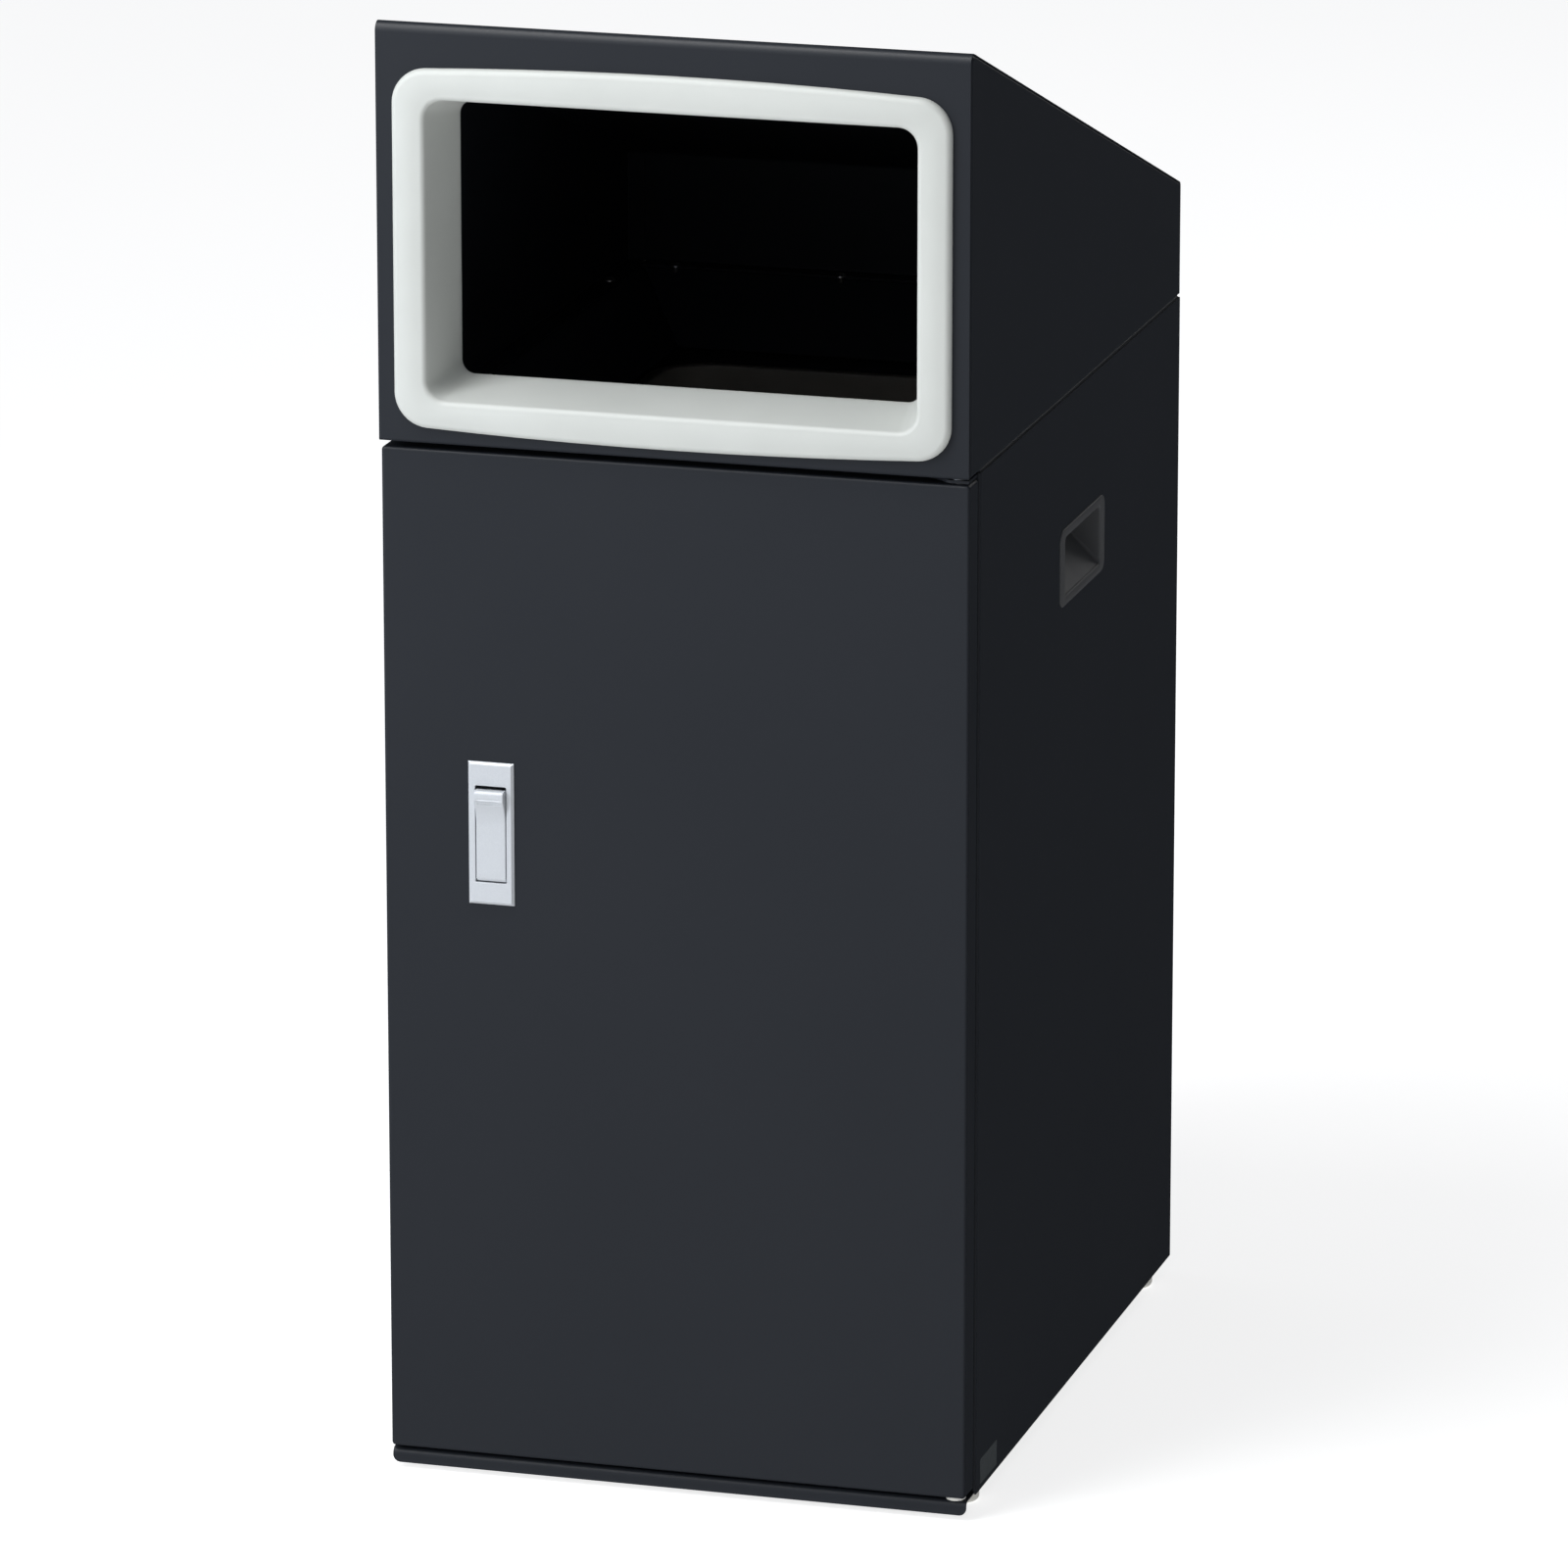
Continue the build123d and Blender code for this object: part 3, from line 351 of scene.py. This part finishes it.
def roundedRings(shapes, cornerSteps=10, runSteps=10):
    # One ring for each row of shapes: (left, right, low, high, corner, low crown, high crown).
    # A corner point is the corner's centre plus corner * (cos a, sin a), a run slides between two
    # corners, and the long runs bow out by crown * (1 - (x / half width) squared).
    turn = np.radians(np.linspace(0.0, 90.0, cornerSteps + 1))
    slide = np.linspace(1.0, -1.0, runSteps + 1)[1:-1]
    ends = np.array([(1, 1), (-1, 1), (-1, -1), (1, -1), (1, 1)], float)
    across, up, angle = [], [], []
    for side in range(4):
        here, there = ends[side], ends[side + 1]
        run = (here + there) / 2 + (here - there) / 2 * slide[:, None]
        across += [np.full(cornerSteps + 1, here[0]), run[:, 0]]
        up += [np.full(cornerSteps + 1, here[1]), run[:, 1]]
        angle += [turn + side * math.pi / 2, np.full(runSteps - 1, (side + 1) * math.pi / 2)]
    across, up, angle = (np.concatenate(part)[None, :] for part in (across, up, angle))
    left, right, low, high, corner, crownLow, crownHigh = (np.asarray(shapes).T[..., None])
    halfWidth, halfHeight = (right - left) / 2, (high - low) / 2
    x = (halfWidth - corner) * across + corner * np.cos(angle)
    z = (halfHeight - corner) * up + corner * np.sin(angle)
    bow = 1.0 - (x / halfWidth) ** 2
    z = z + bow * np.where(up > 0, crownHigh, -crownLow)
    return (left + right) / 2 + x, (low + high) / 2 + z


def inset(shape, distance):
    # the same rounded outline, moved in by each distance
    distance = np.atleast_1d(distance)[:, None]
    return np.asarray(shape) + distance * np.array([1.0, -1.0, 1.0, -1.0, -1.0, 0.0, 0.0])


def blendRows(first, last, steps):
    # rows from first to last, without first itself
    share = np.linspace(0.0, 1.0, steps + 1)[1:, None]
    return np.asarray(first) * (1 - share) + np.asarray(last) * share


def shell(points, closeAlong=False):
    # Quads between neighbouring rings. The last ring meets the first, or both end in a flat cap.
    # The signed volume says which way the faces point, and they are turned outwards.
    rings, around = points.shape[:2]
    points = points.reshape(-1, 3)
    ring = np.arange(rings if closeAlong else rings - 1)[:, None] * around
    step = np.arange(around)[None, :]
    after = (step + 1) % around
    beyond = (ring + around) % (rings * around)
    quads = np.stack([ring + step, ring + after, beyond + after, beyond + step], -1).reshape(-1, 4)
    caps = [] if closeAlong else [np.arange(around)[::-1], np.arange(around) + (rings - 1) * around]
    corners = points[quads]
    volume = np.einsum("ij,ij->", corners[:, 0], np.cross(corners[:, 1], corners[:, 2]))
    volume += np.einsum("ij,ij->", corners[:, 0], np.cross(corners[:, 2], corners[:, 3]))
    for cap in caps:
        rim = points[cap]
        volume += (rim.mean(0) @ np.cross(rim, np.roll(rim, -1, 0)).T).sum()
    if volume < 0:
        quads = quads[:, ::-1]
        caps = [cap[::-1] for cap in caps]
    return points, quads.tolist() + [cap.tolist() for cap in caps]


def turned(profile, axis, centre, around=40, closeAlong=False):
    # a profile of (radius, height) rows carried round an axis through centre
    turn = np.radians(np.linspace(0.0, 360.0, around, endpoint=False))[None, :]
    radius, height = np.asarray(profile).T[..., None]
    side, front, along = radius * np.cos(turn), radius * np.sin(turn), height + 0.0 * turn
    order = {"x": (along, side, front), "y": (side, along, front), "z": (side, front, along)}[axis]
    return shell(np.stack(order, -1) + np.array(centre), closeAlong)


crossSlot = {                             # shares of the head's radius
    "halfWidth": 0.13, "wallStart": 1.6,  # the wall runs from 0.6 to 1.6 half widths
    "reach": 0.62, "endSlope": 0.12,
}


def crossHead(screw, axis, sign, centre, rings=14, around=64):
    # A domed head on a shank. Its height is rise * (1 - (reach / radius) ^ 2) ^ 0.6 less a cross recess,
    # and the recess is a smooth step in the distance from the nearer of two crossed slots.
    radius, rise, recess = screw["radius"], screw["rise"], screw["recess"]
    turn = np.radians(np.linspace(0.0, 360.0, around, endpoint=False))[None, :]
    reach = radius * np.sin(np.radians(np.linspace(3.0, 90.0, rings)))[:, None]
    dome = rise * (1.0 - (reach / radius) ** 2).clip(0.0, 1.0) ** 0.6
    nearest = np.minimum(np.abs(reach * np.cos(turn)), np.abs(reach * np.sin(turn)))
    slot = nearest / (crossSlot["halfWidth"] * radius)
    ends = (crossSlot["reach"] - reach / radius) / crossSlot["endSlope"]
    deep = np.clip(crossSlot["wallStart"] - slot, 0.0, 1.0) * np.clip(ends, 0.0, 1.0)
    head = np.stack([reach * np.cos(turn), reach * np.sin(turn), dome - recess * deep], -1)
    tip = np.array([0.98, 0.72])[:, None] * screw["shank"]
    neck = np.concatenate([[[screw["shank"]]], tip])
    fall = np.array([0.0, -0.9 * screw["length"], -screw["length"]])[:, None] + 0.0 * turn
    below = np.stack([neck * np.cos(turn), neck * np.sin(turn), fall], -1)
    points = np.concatenate([head, below])
    points[..., 2] *= sign
    points = {"x": points[..., [2, 0, 1]], "y": points[..., [0, 2, 1]], "z": points}[axis]
    return shell(points + np.array(centre))


def makePiece(name, shells, finishName, body, replaced, sharpAngle=38.0):
    points, faces, start = [], [], 0
    for shellPoints, shellFaces in shells:
        points.append(shellPoints)
        faces += [[start + corner for corner in face] for face in shellFaces]
        start += len(shellPoints)
    mesh = bpy.data.meshes.new(name)
    mesh.from_pydata(np.concatenate(points).tolist(), [], faces)
    mesh.polygons.foreach_set("use_smooth", np.ones(len(faces), bool))
    mesh.set_sharp_from_angle(angle=math.radians(sharpAngle))
    mesh.materials.append(materials[finishName])
    mesh.validate()
    piece = bpy.data.objects.new(name, mesh)
    bpy.context.scene.collection.objects.link(piece)
    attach(piece, body)
    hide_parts(*replaced)
    print("made", name, "with", len(faces), "faces")
    return piece


mouth = {
    "sideLow": 0.722, "sideHigh": 0.958,              # outline where the long edges meet the corners
    "corner": 0.022,
    "funnelFront": (0.165, 0.740, 0.939, 0.013),      # half width, low, high, corner
    "funnelBack": (0.1555, 0.7485, 0.9305, 0.009),
    "seat": 0.006,                                    # from the front of the frame to the hood's face
    "outerRoll": 0.0046, "innerRoll": 0.0040, "dome": 0.0006, "wall": 0.0024,
}


def mouthFrame(look):
    # outer wall, outer roll, slightly domed band, inner roll, tapering funnel, rounded rear lip, and
    # back along the outside of the funnel to the seat on the hood
    low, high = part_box("mouth_frame")
    crowns = (look["sideLow"] - low.z, high.z - look["sideHigh"])
    outer = np.array([-high.x, high.x, look["sideLow"], look["sideHigh"], look["corner"], *crowns])
    frontHalf, frontLow, frontHigh, frontCorner = look["funnelFront"]
    backHalf, backLow, backHigh, backCorner = look["funnelBack"]
    front = np.array([-frontHalf, frontHalf, frontLow, frontHigh, frontCorner, 0.0, 0.0])
    back = np.array([-backHalf, backHalf, backLow, backHigh, backCorner, 0.0, 0.0])
    face, roll, curl, wall = low.y + look["dome"], look["outerRoll"], look["innerRoll"], look["wall"]
    seat = low.y + look["seat"]
    quarter = np.radians(np.linspace(0.0, 90.0, 10))
    most = np.radians(np.linspace(0.0, 80.0, 10))
    half = np.radians(np.linspace(0.0, 180.0, 9))[1:]
    share = np.linspace(0.0, 1.0, 9)[1:-1, None]
    rows, depth = [outer[None, :]], [[seat]]
    rows.append(inset(outer, roll * (1 - np.cos(quarter))))
    depth.append(face + roll * (1 - np.sin(quarter)))
    rows.append(rows[-1][-1] * (1 - share) + inset(front, -curl) * share)
    depth.append(face - look["dome"] * (1 - (2 * share[:, 0] - 1) ** 2))
    rows.append(inset(front, -curl * (1 - np.sin(most))))
    depth.append(face + curl * (1 - np.cos(most)))
    rows.append(blendRows(rows[-1][-1], back, 12))
    depth.append(blendRows([depth[-1][-1]], [high.y - wall / 2], 12)[:, 0])
    rows.append(inset(back, -wall / 2 * (1 - np.cos(half))))
    depth.append(high.y - wall / 2 + wall / 2 * np.sin(half))
    rows.append(blendRows(inset(back, -wall)[0], inset(front, -wall)[0], 4))
    depth.append(blendRows([high.y - wall / 2], [seat], 4)[:, 0])
    x, z = roundedRings(np.concatenate(rows))
    y = np.concatenate(depth)[:, None] + 0.0 * x
    return makePiece("mouthFrame", [shell(np.stack([x, y, z], -1), closeAlong=True)],
                     "paleMoulding", "cabinet", ["mouth_frame"])


lever = {
    "pivotY": -0.273, "pivotZ": 0.4185, "barrel": 0.003,
    "sweepStart": 0.454, "ridge": 0.472, "proud": 0.0052,
    "backY": 0.0034,                                  # back of the lever behind its face
    "edge": 0.0006, "crownBack": 0.0024, "crownFront": 0.0026, "tailEdge": 0.0006,
    "fade": 0.001,                                    # how far a groove takes to run out
    "grooveLow": 0.4692, "groovePitch": 0.0019, "grooves": 3,
    "grooveDepth": 0.00045, "grooveWidth": 0.00034, "grooveMargin": 0.0021,
    "tail": 0.025, "tailHalf": (0.0018, 0.0015), "ball": 0.0024,
}


def latchLever(look):
    # One closed profile in the Y-Z plane carried across the width. The front is a flat, then an arc of
    # radius (proud squared + rise squared) / (2 * proud) up to the ridge. Each edge ring is the profile
    # moved in along its own normal, and the grooves are three narrow bell curves pressed into the ridge.
    low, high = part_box("latch_lever")
    face = look["pivotY"] - look["barrel"]
    rise = look["ridge"] - look["sweepStart"]
    sweep = (look["proud"] ** 2 + rise ** 2) / (2 * look["proud"])
    back = face + look["backY"]
    nose = face - look["proud"]
    barrel = arc((look["pivotY"], look["pivotZ"]), look["barrel"], 180.0, 360.0, 18)
    rear, front = look["crownBack"], look["crownFront"]
    spine = np.stack([np.full(12, back), np.linspace(look["pivotZ"] + 0.004, high.z - front, 12)], -1)
    crownBack = arc((back - rear, high.z - rear), rear, 0.0, 90.0, 6)
    crownFront = arc((nose + front, high.z - front), front, 90.0, 180.0, 12)
    ridge = np.stack([np.full(24, nose), np.linspace(high.z - 0.0028, look["ridge"] + 0.0001, 24)], -1)
    climb = arc((face - sweep, look["sweepStart"]), sweep, math.degrees(math.asin(rise / sweep)), 0.0, 70)
    fall = np.linspace(look["sweepStart"] - 0.002, look["pivotZ"] + look["barrel"], 10)
    flat = np.stack([np.full(10, face), fall], -1)
    profile = np.concatenate([barrel, spine, crownBack, crownFront, ridge, climb, flat])
    along = np.roll(profile, -1, 0) - np.roll(profile, 1, 0)
    along /= np.linalg.norm(along, axis=1, keepdims=True)
    inward = np.stack([-along[:, 1], along[:, 0]], -1)
    quarter = np.radians(np.linspace(0.0, 90.0, 6))
    margin = look["grooveMargin"]
    halfWidth = (high.x - low.x) / 2
    fade = look["fade"]
    side = np.concatenate([
        halfWidth - look["edge"] * (1 - np.cos(quarter)),
        halfWidth - margin + np.linspace(fade / 2, -fade / 2, 5),
        [halfWidth - 2 * margin, 0.001],
    ])
    tuck = np.concatenate([look["edge"] * (1 - np.sin(quarter)), np.zeros(7)])
    offset = np.concatenate([-side, side[::-1]])
    tuck = np.concatenate([tuck, tuck[::-1]])
    pressed = np.clip((halfWidth - margin + fade / 2 - np.abs(offset)) / fade, 0.0, 1.0)
    place = look["grooveLow"] + look["groovePitch"] * np.arange(look["grooves"])
    bell = np.exp(-((profile[:, 1:] - place) / look["grooveWidth"]) ** 2).sum(1)
    bell = bell * (profile[:, 0] < face - 0.001)
    moved = tuck[:, None] + look["grooveDepth"] * pressed[:, None] * bell[None]
    yz = profile[None] + inward[None] * moved[..., None]
    middle = (low.x + high.x) / 2
    body = shell(np.concatenate([(middle + offset)[:, None, None] + 0.0 * yz[..., :1], yz], -1))
    thick, tall = look["tailHalf"]
    stem = np.array([middle - thick, middle + thick, look["pivotZ"] - tall, look["pivotZ"] + tall,
                     look["tailEdge"], 0.0, 0.0])
    x, z = roundedRings(np.repeat(stem[None], 6, 0), 4, 2)
    y = np.linspace(look["pivotY"] + 0.001, look["pivotY"] + look["tail"], 6)[:, None] + 0.0 * x
    ball = arc((0.0, 0.0), look["ball"], -86.0, 86.0, 18)
    ballPlace = (middle, look["pivotY"] + look["tail"], look["pivotZ"])
    return makePiece("latchLever", [body, shell(np.stack([x, y, z], -1)), turned(ball, "z", ballPlace)],
                     "silverCasting", "latch_lever", ["latch_lever"])


handle = {
    "corner": 0.008, "roll": 0.0009, "mouthRoll": 0.0016, "dome": 0.0002,
    "pocket": (0.047, 0.020),                         # half length and half height of the pocket's mouth
    "pocketCorner": 0.004, "depth": 0.036, "draft": 0.0015, "ledge": 0.003, "wall": 0.002,
    "flange": 0.0012, "deepCorner": 0.0007,
    "behind": 0.0015,                                 # where the pocket's outer wall leaves the flange
}


def carryHandle(look, name, node, sign):
    # A thin rounded flange with a wedge-shaped pocket. The ring at depth d keeps its top edge, and its
    # bottom edge rises in proportion to d, so that the rings' lower runs make the sloping floor.
    low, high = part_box(node)
    y, z = (low.y + high.y) / 2, (low.z + high.z) / 2
    flange = np.array([low.y, high.y, low.z, high.z, look["corner"], 0.0, 0.0])
    halfLength, halfHeight = look["pocket"]
    draft, roof = look["draft"], z + halfHeight
    mouthShape = np.array([y - halfLength, y + halfLength, z - halfHeight, roof, look["pocketCorner"], 0, 0])
    deepShape = np.array([y - halfLength + draft, y + halfLength - draft, roof - look["ledge"],
                          roof - draft / 2, look["deepCorner"], 0.0, 0.0])
    face = look["flange"] - look["dome"]
    quarter = np.radians(np.linspace(0.0, 90.0, 8))
    share = np.linspace(0.0, 1.0, 7)[1:-1, None]
    inner = blendRows(deepShape, mouthShape, 14)
    roll, curl = look["roll"], look["mouthRoll"]
    rows = [deepShape[None], inner]
    out = [[-look["depth"]], blendRows([-look["depth"]], [face - curl], 14)[:, 0]]
    rows.append(inset(mouthShape, -curl * (1 - np.cos(quarter)))[1:])
    out.append((face - curl + curl * np.sin(quarter))[1:])
    rows.append(rows[-1][-1] * (1 - share) + inset(flange, roll) * share)
    out.append(face + look["dome"] * (1 - (2 * share[:, 0] - 1) ** 2))
    rows.append(inset(flange, roll * (1 - np.sin(quarter))))
    out.append(face - roll * (1 - np.cos(quarter)))
    rows.append(flange[None])
    out.append([0.0])
    rows.append(inset(mouthShape, -look["wall"]))
    out.append([0.0])
    wallDeep = inset(deepShape, -look["wall"])[0]
    rows.append(blendRows(rows[-1][-1], wallDeep, 8))
    out.append(blendRows([-look["behind"]], [-look["depth"] - look["wall"]], 8)[:, 0])
    across, up = roundedRings(np.concatenate(rows))
    surface = sign * (max(abs(low.x), abs(high.x)) - look["flange"])
    x = surface + sign * np.concatenate(out)[:, None] + 0.0 * across
    return makePiece(name, [shell(np.stack([x, across, up], -1))], "handleMoulding",
                     "cabinet", [node])


pailSizes = {
    "wall": 0.003, "draft": 1.2, "corner": 0.038, "foot": 0.010, "rim": 0.006, "rimHeight": 0.007,
    "rimRoll": 0.0014, "rimWall": 0.0022,
    "rimShelf": 0.0004,                               # fall of the rim's underside towards the wall
    "floorInset": 0.012, "belowRim": 0.008,
}


def pailShell(look):
    # Rounded rings up the inside, over the rim and down the outside. Each ring is drawn in by the
    # draft times its distance below the rim, and the foot is a quarter circle.
    low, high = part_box("pail")
    top = np.array([low.x, high.x, low.y, high.y, look["corner"] + look["rim"], 0.0, 0.0])
    mouthShape = inset(top, look["rim"])[0]
    slope = math.tan(math.radians(look["draft"]))
    quarter = np.radians(np.linspace(0.0, 90.0, 8))
    foot, wall, roll, rimWall = look["foot"], look["wall"], look["rimRoll"], look["rimWall"]

    def drawn(extra, height):                         # outline drawn in by extra plus the draft there
        return inset(mouthShape, extra + slope * (high.z - height))

    insideFoot = low.z + wall + (foot - wall) * (1 - np.cos(quarter))
    rows = [drawn(foot + look["floorInset"], np.array([low.z + wall]))]
    rows.append(drawn(wall + (foot - wall) * (1 - np.sin(quarter)), insideFoot))
    level = [[low.z + wall], insideFoot]
    climb = np.linspace(low.z + foot, high.z - roll, 16)[1:]
    rows.append(drawn(np.full(15, wall), climb))
    level.append(climb)
    rows.append(inset(mouthShape, wall - roll * (1 - np.cos(quarter)))[1:])
    level.append((high.z - roll + roll * np.sin(quarter))[1:])
    rows.append(inset(top, roll * (1 - np.sin(quarter))))
    level.append(high.z - roll + roll * np.cos(quarter))
    rows.append(top[None])
    level.append([high.z - look["rimHeight"]])
    rows.append(inset(top, rimWall))
    level.append([high.z - look["rimHeight"]])
    rows.append(inset(top, rimWall))
    level.append([high.z - rimWall])
    shelf = high.z - rimWall - look["rimShelf"]
    rows.append(drawn(np.zeros(1), np.array([shelf])))
    level.append([shelf])
    fall = np.linspace(high.z - look["belowRim"], low.z + foot, 15)
    rows.append(drawn(np.zeros(15), fall))
    level.append(fall)
    rows.append(drawn(foot * (1 - np.cos(quarter)), low.z + foot * (1 - np.sin(quarter)))[1:])
    level.append((low.z + foot * (1 - np.sin(quarter)))[1:])
    x, y = roundedRings(np.concatenate(rows), 14, 8)
    z = np.concatenate(level)[:, None] + 0.0 * x
    return makePiece("pailShell", [shell(np.stack([x, y, z], -1))], "smokedMoulding",
                     "cabinet", ["pail"])


feet = {"x": 0.184, "frontY": -0.227, "backY": 0.244, "radius": 0.012, "height": 0.013,
        "round": 0.0035, "bore": 0.0055, "boreTop": 0.006}


def glideFeet(look):
    # bore, rounded tread, side and top edge carried round each foot's axis
    r, bore, tread = look["radius"], look["bore"], look["round"]
    profile = np.concatenate([
        [(0.0005, look["boreTop"]), (bore, look["boreTop"])],
        arc((bore + 0.0006, 0.0006), 0.0006, 180.0, 270.0, 4),
        arc((r - tread, tread), tread, -90.0, 0.0, 10),
        arc((r - 0.001, look["height"] - 0.001), 0.001, 0.0, 90.0, 5),
        [(0.0005, look["height"])],
    ])
    places = [(x, y, 0.0) for x in (-look["x"], look["x"]) for y in (look["frontY"], look["backY"])]
    return makePiece("glideFeet", [turned(profile, "z", place, 56) for place in places],
                     "whiteNylon", "cabinet", ["glide_feet"])


bumper = {"x": -0.188, "heights": (0.060, 0.660), "radius": 0.005, "edge": 0.0013}


def doorBumpers(look):
    # a flat-backed button with a rolled edge and a slightly domed front
    low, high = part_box("door_bumpers")
    r, edge = look["radius"], look["edge"]
    deep = high.y - low.y
    profile = np.concatenate([
        [(0.0003, 0.0), (r, 0.0)],
        arc((r - edge, edge + 0.0002 - deep), edge, 0.0, -80.0, 6),
        [(0.0022, 0.00005 - deep), (0.0003, -deep)],
    ])
    buttons = [turned(profile, "y", (look["x"], high.y, z), 40) for z in look["heights"]]
    return makePiece("doorBumpers", buttons,
                     "blackRubber", "cabinet", ["door_bumpers"])


coil = {"x": -0.1252, "y": -0.260, "low": 0.4208, "radius": 0.0026, "wire": 0.0003, "turns": 8,
        "top": 0.446, "gap": 0.0008, "keep": 0.63}


def leverSpring(look):
    # a circle of wire carried along a helix; its first and last turns lie flat, as a ground spring's do
    turn = np.linspace(0.0, look["turns"] * 2 * math.pi, look["turns"] * 28 + 1)
    share = turn / turn[-1]
    eased = np.clip((share - 0.1) / 0.8, 0.0, 1.0)
    height = look["low"] + (look["top"] - look["gap"] - look["low"]) * (0.92 * eased + 0.08 * share)
    outward = np.stack([np.cos(turn), np.sin(turn), 0.0 * turn], -1)
    middle = np.array([look["x"], look["y"], 0.0]) + look["radius"] * outward
    middle[:, 2] = height
    around = np.radians(np.linspace(0.0, 360.0, 10, endpoint=False))
    upward = np.array([0.0, 0.0, 1.0])
    ring = np.cos(around)[None, :, None] * outward[:, None] + np.sin(around)[None, :, None] * upward
    piece = makePiece("leverSpring", [shell(middle[:, None] + look["wire"] * ring)],
                      "zincSteel", "door", ["lever_return_spring"])
    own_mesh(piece)          # the spring gets a copy of its mesh of its own
    return piece


domeScrew = {"radius": 0.0042, "rise": 0.0026, "recess": 0.0012, "shank": 0.002, "length": 0.0065}
panScrew = {"radius": 0.0032, "rise": 0.0018, "recess": 0.0009, "shank": 0.002, "length": 0.0046}
keeperScrew = {"radius": 0.0036, "rise": 0.0016, "recess": 0.0009, "shank": 0.002, "length": 0.0026}
clampScrew = {"radius": 0.0028, "rise": 0.0016, "recess": 0.0008, "shank": 0.0015, "length": 0.0032}
footScrew = {"radius": 0.0042, "rise": 0.0026, "recess": 0.0012, "shank": 0.002, "length": 0.0130}
solidRivet = {"radius": 0.0032, "rise": 0.0010, "recess": 0.0, "shank": 0.0016, "length": 0.0030}

hoodPlaces = {"side": 0.191, "depths": (-0.150, 0.210),
              "rear": (-0.160, -0.040, 0.040, 0.160), "rearDepth": 0.267}
mouthPlaces = {"side": 0.1823, "heights": (0.790, 0.890), "spread": 0.070, "edges": (0.7229, 0.9576)}
keeperPlaces = {"x": -0.174, "middle": 0.4255, "spacing": 0.034}
clampPlaces = {"x": -0.1252, "y": -0.2653}
rivetPlaces = {"x": 0.189, "first": 0.060, "pitch": 0.118, "count": 6}


def screwSet(name, screw, axis, sign, places, body, node):
    # one head and shank at each place, all facing the same way along the axis
    heads = [crossHead(screw, axis, sign, place) for place in places]
    return makePiece(name, heads, "zincSteel", body, [node], 50.0)


def allScrews():
    # each row of heads sits on the sheet that its CAD box starts from
    low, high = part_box("hood_screws")
    places = [(x, y, high.z - domeScrew["rise"]) for x in (-hoodPlaces["side"], hoodPlaces["side"])
              for y in hoodPlaces["depths"]]
    places += [(x, hoodPlaces["rearDepth"], high.z - domeScrew["rise"]) for x in hoodPlaces["rear"]]
    screwSet("hoodScrews", domeScrew, "z", 1, places, "cabinet", "hood_screws")
    low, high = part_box("mouth_frame_screws")
    seat = high.y - panScrew["rise"]
    places = [(s * mouthPlaces["side"], seat, z) for s in (-1, 1) for z in mouthPlaces["heights"]]
    places += [(s * mouthPlaces["spread"], seat, z) for s in (-1, 1) for z in mouthPlaces["edges"]]
    screwSet("mouthFrameScrews", panScrew, "y", 1, places, "cabinet", "mouth_frame_screws")
    low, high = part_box("keeper_screws")
    seat, apart = high.y - keeperScrew["rise"], keeperPlaces["spacing"] / 2
    places = [(keeperPlaces["x"], seat, keeperPlaces["middle"] + s * apart) for s in (-1, 1)]
    screwSet("keeperScrews", keeperScrew, "y", 1, places, "cabinet", "keeper_screws")
    low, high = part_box("foot_screws")
    places = [(x, y, low.z + footScrew["rise"]) for x in (-feet["x"], feet["x"])
              for y in (feet["frontY"], feet["backY"])]
    screwSet("footScrews", footScrew, "z", -1, places, "cabinet", "foot_screws")
    low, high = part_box("back_panel_rivets")
    seat = high.y - solidRivet["rise"]
    heights = [rivetPlaces["first"] + rivetPlaces["pitch"] * i for i in range(rivetPlaces["count"])]
    places = [(s * rivetPlaces["x"], seat, z) for s in (-1, 1) for z in heights]
    screwSet("backPanelRivets", solidRivet, "y", 1, places, "cabinet", "back_panel_rivets")
    low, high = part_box("latch_clamp_screws")
    shells = [crossHead(clampScrew, "z", sign, (clampPlaces["x"], clampPlaces["y"], z))
              for sign, z in ((1, high.z - clampScrew["rise"]), (-1, low.z + clampScrew["rise"]))]
    makePiece("latchClampScrews", shells, "zincSteel", "door", ["latch_clamp_screws"], 50.0)


hinge = {"washerEdge": 0.0004, "bore": 0.00405}


def hingeTurnings(look):
    # the washer is a ring with rolled edges; its profile closes on itself round the bore
    low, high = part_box("hinge_washer")
    x, y = (low.x + high.x) / 2, (low.y + high.y) / 2
    radius, edge, thick = (high.x - low.x) / 2, look["washerEdge"], high.z - low.z
    profile = np.concatenate([
        arc((radius - edge, thick - edge), edge, 90.0, 0.0, 5),
        arc((radius - edge, edge), edge, 0.0, -90.0, 5),
        arc((look["bore"] + edge, edge), edge, 270.0, 180.0, 5),
        arc((look["bore"] + edge, thick - edge), edge, 180.0, 90.0, 5),
    ])
    makePiece("hingeWasher", [turned(profile, "z", (x, y, low.z), 64, closeAlong=True)],
              "whiteNylon", "cabinet", ["hinge_washer"])


mouthFrame(mouth)
latchLever(lever)
allScrews()
hingeTurnings(hinge)
carryHandle(handle, "carryHandleLeft", "left_carry_handle", -1)
carryHandle(handle, "carryHandleRight", "right_carry_handle", 1)
pailShell(pailSizes)
glideFeet(feet)
doorBumpers(bumper)
leverSpring(coil)
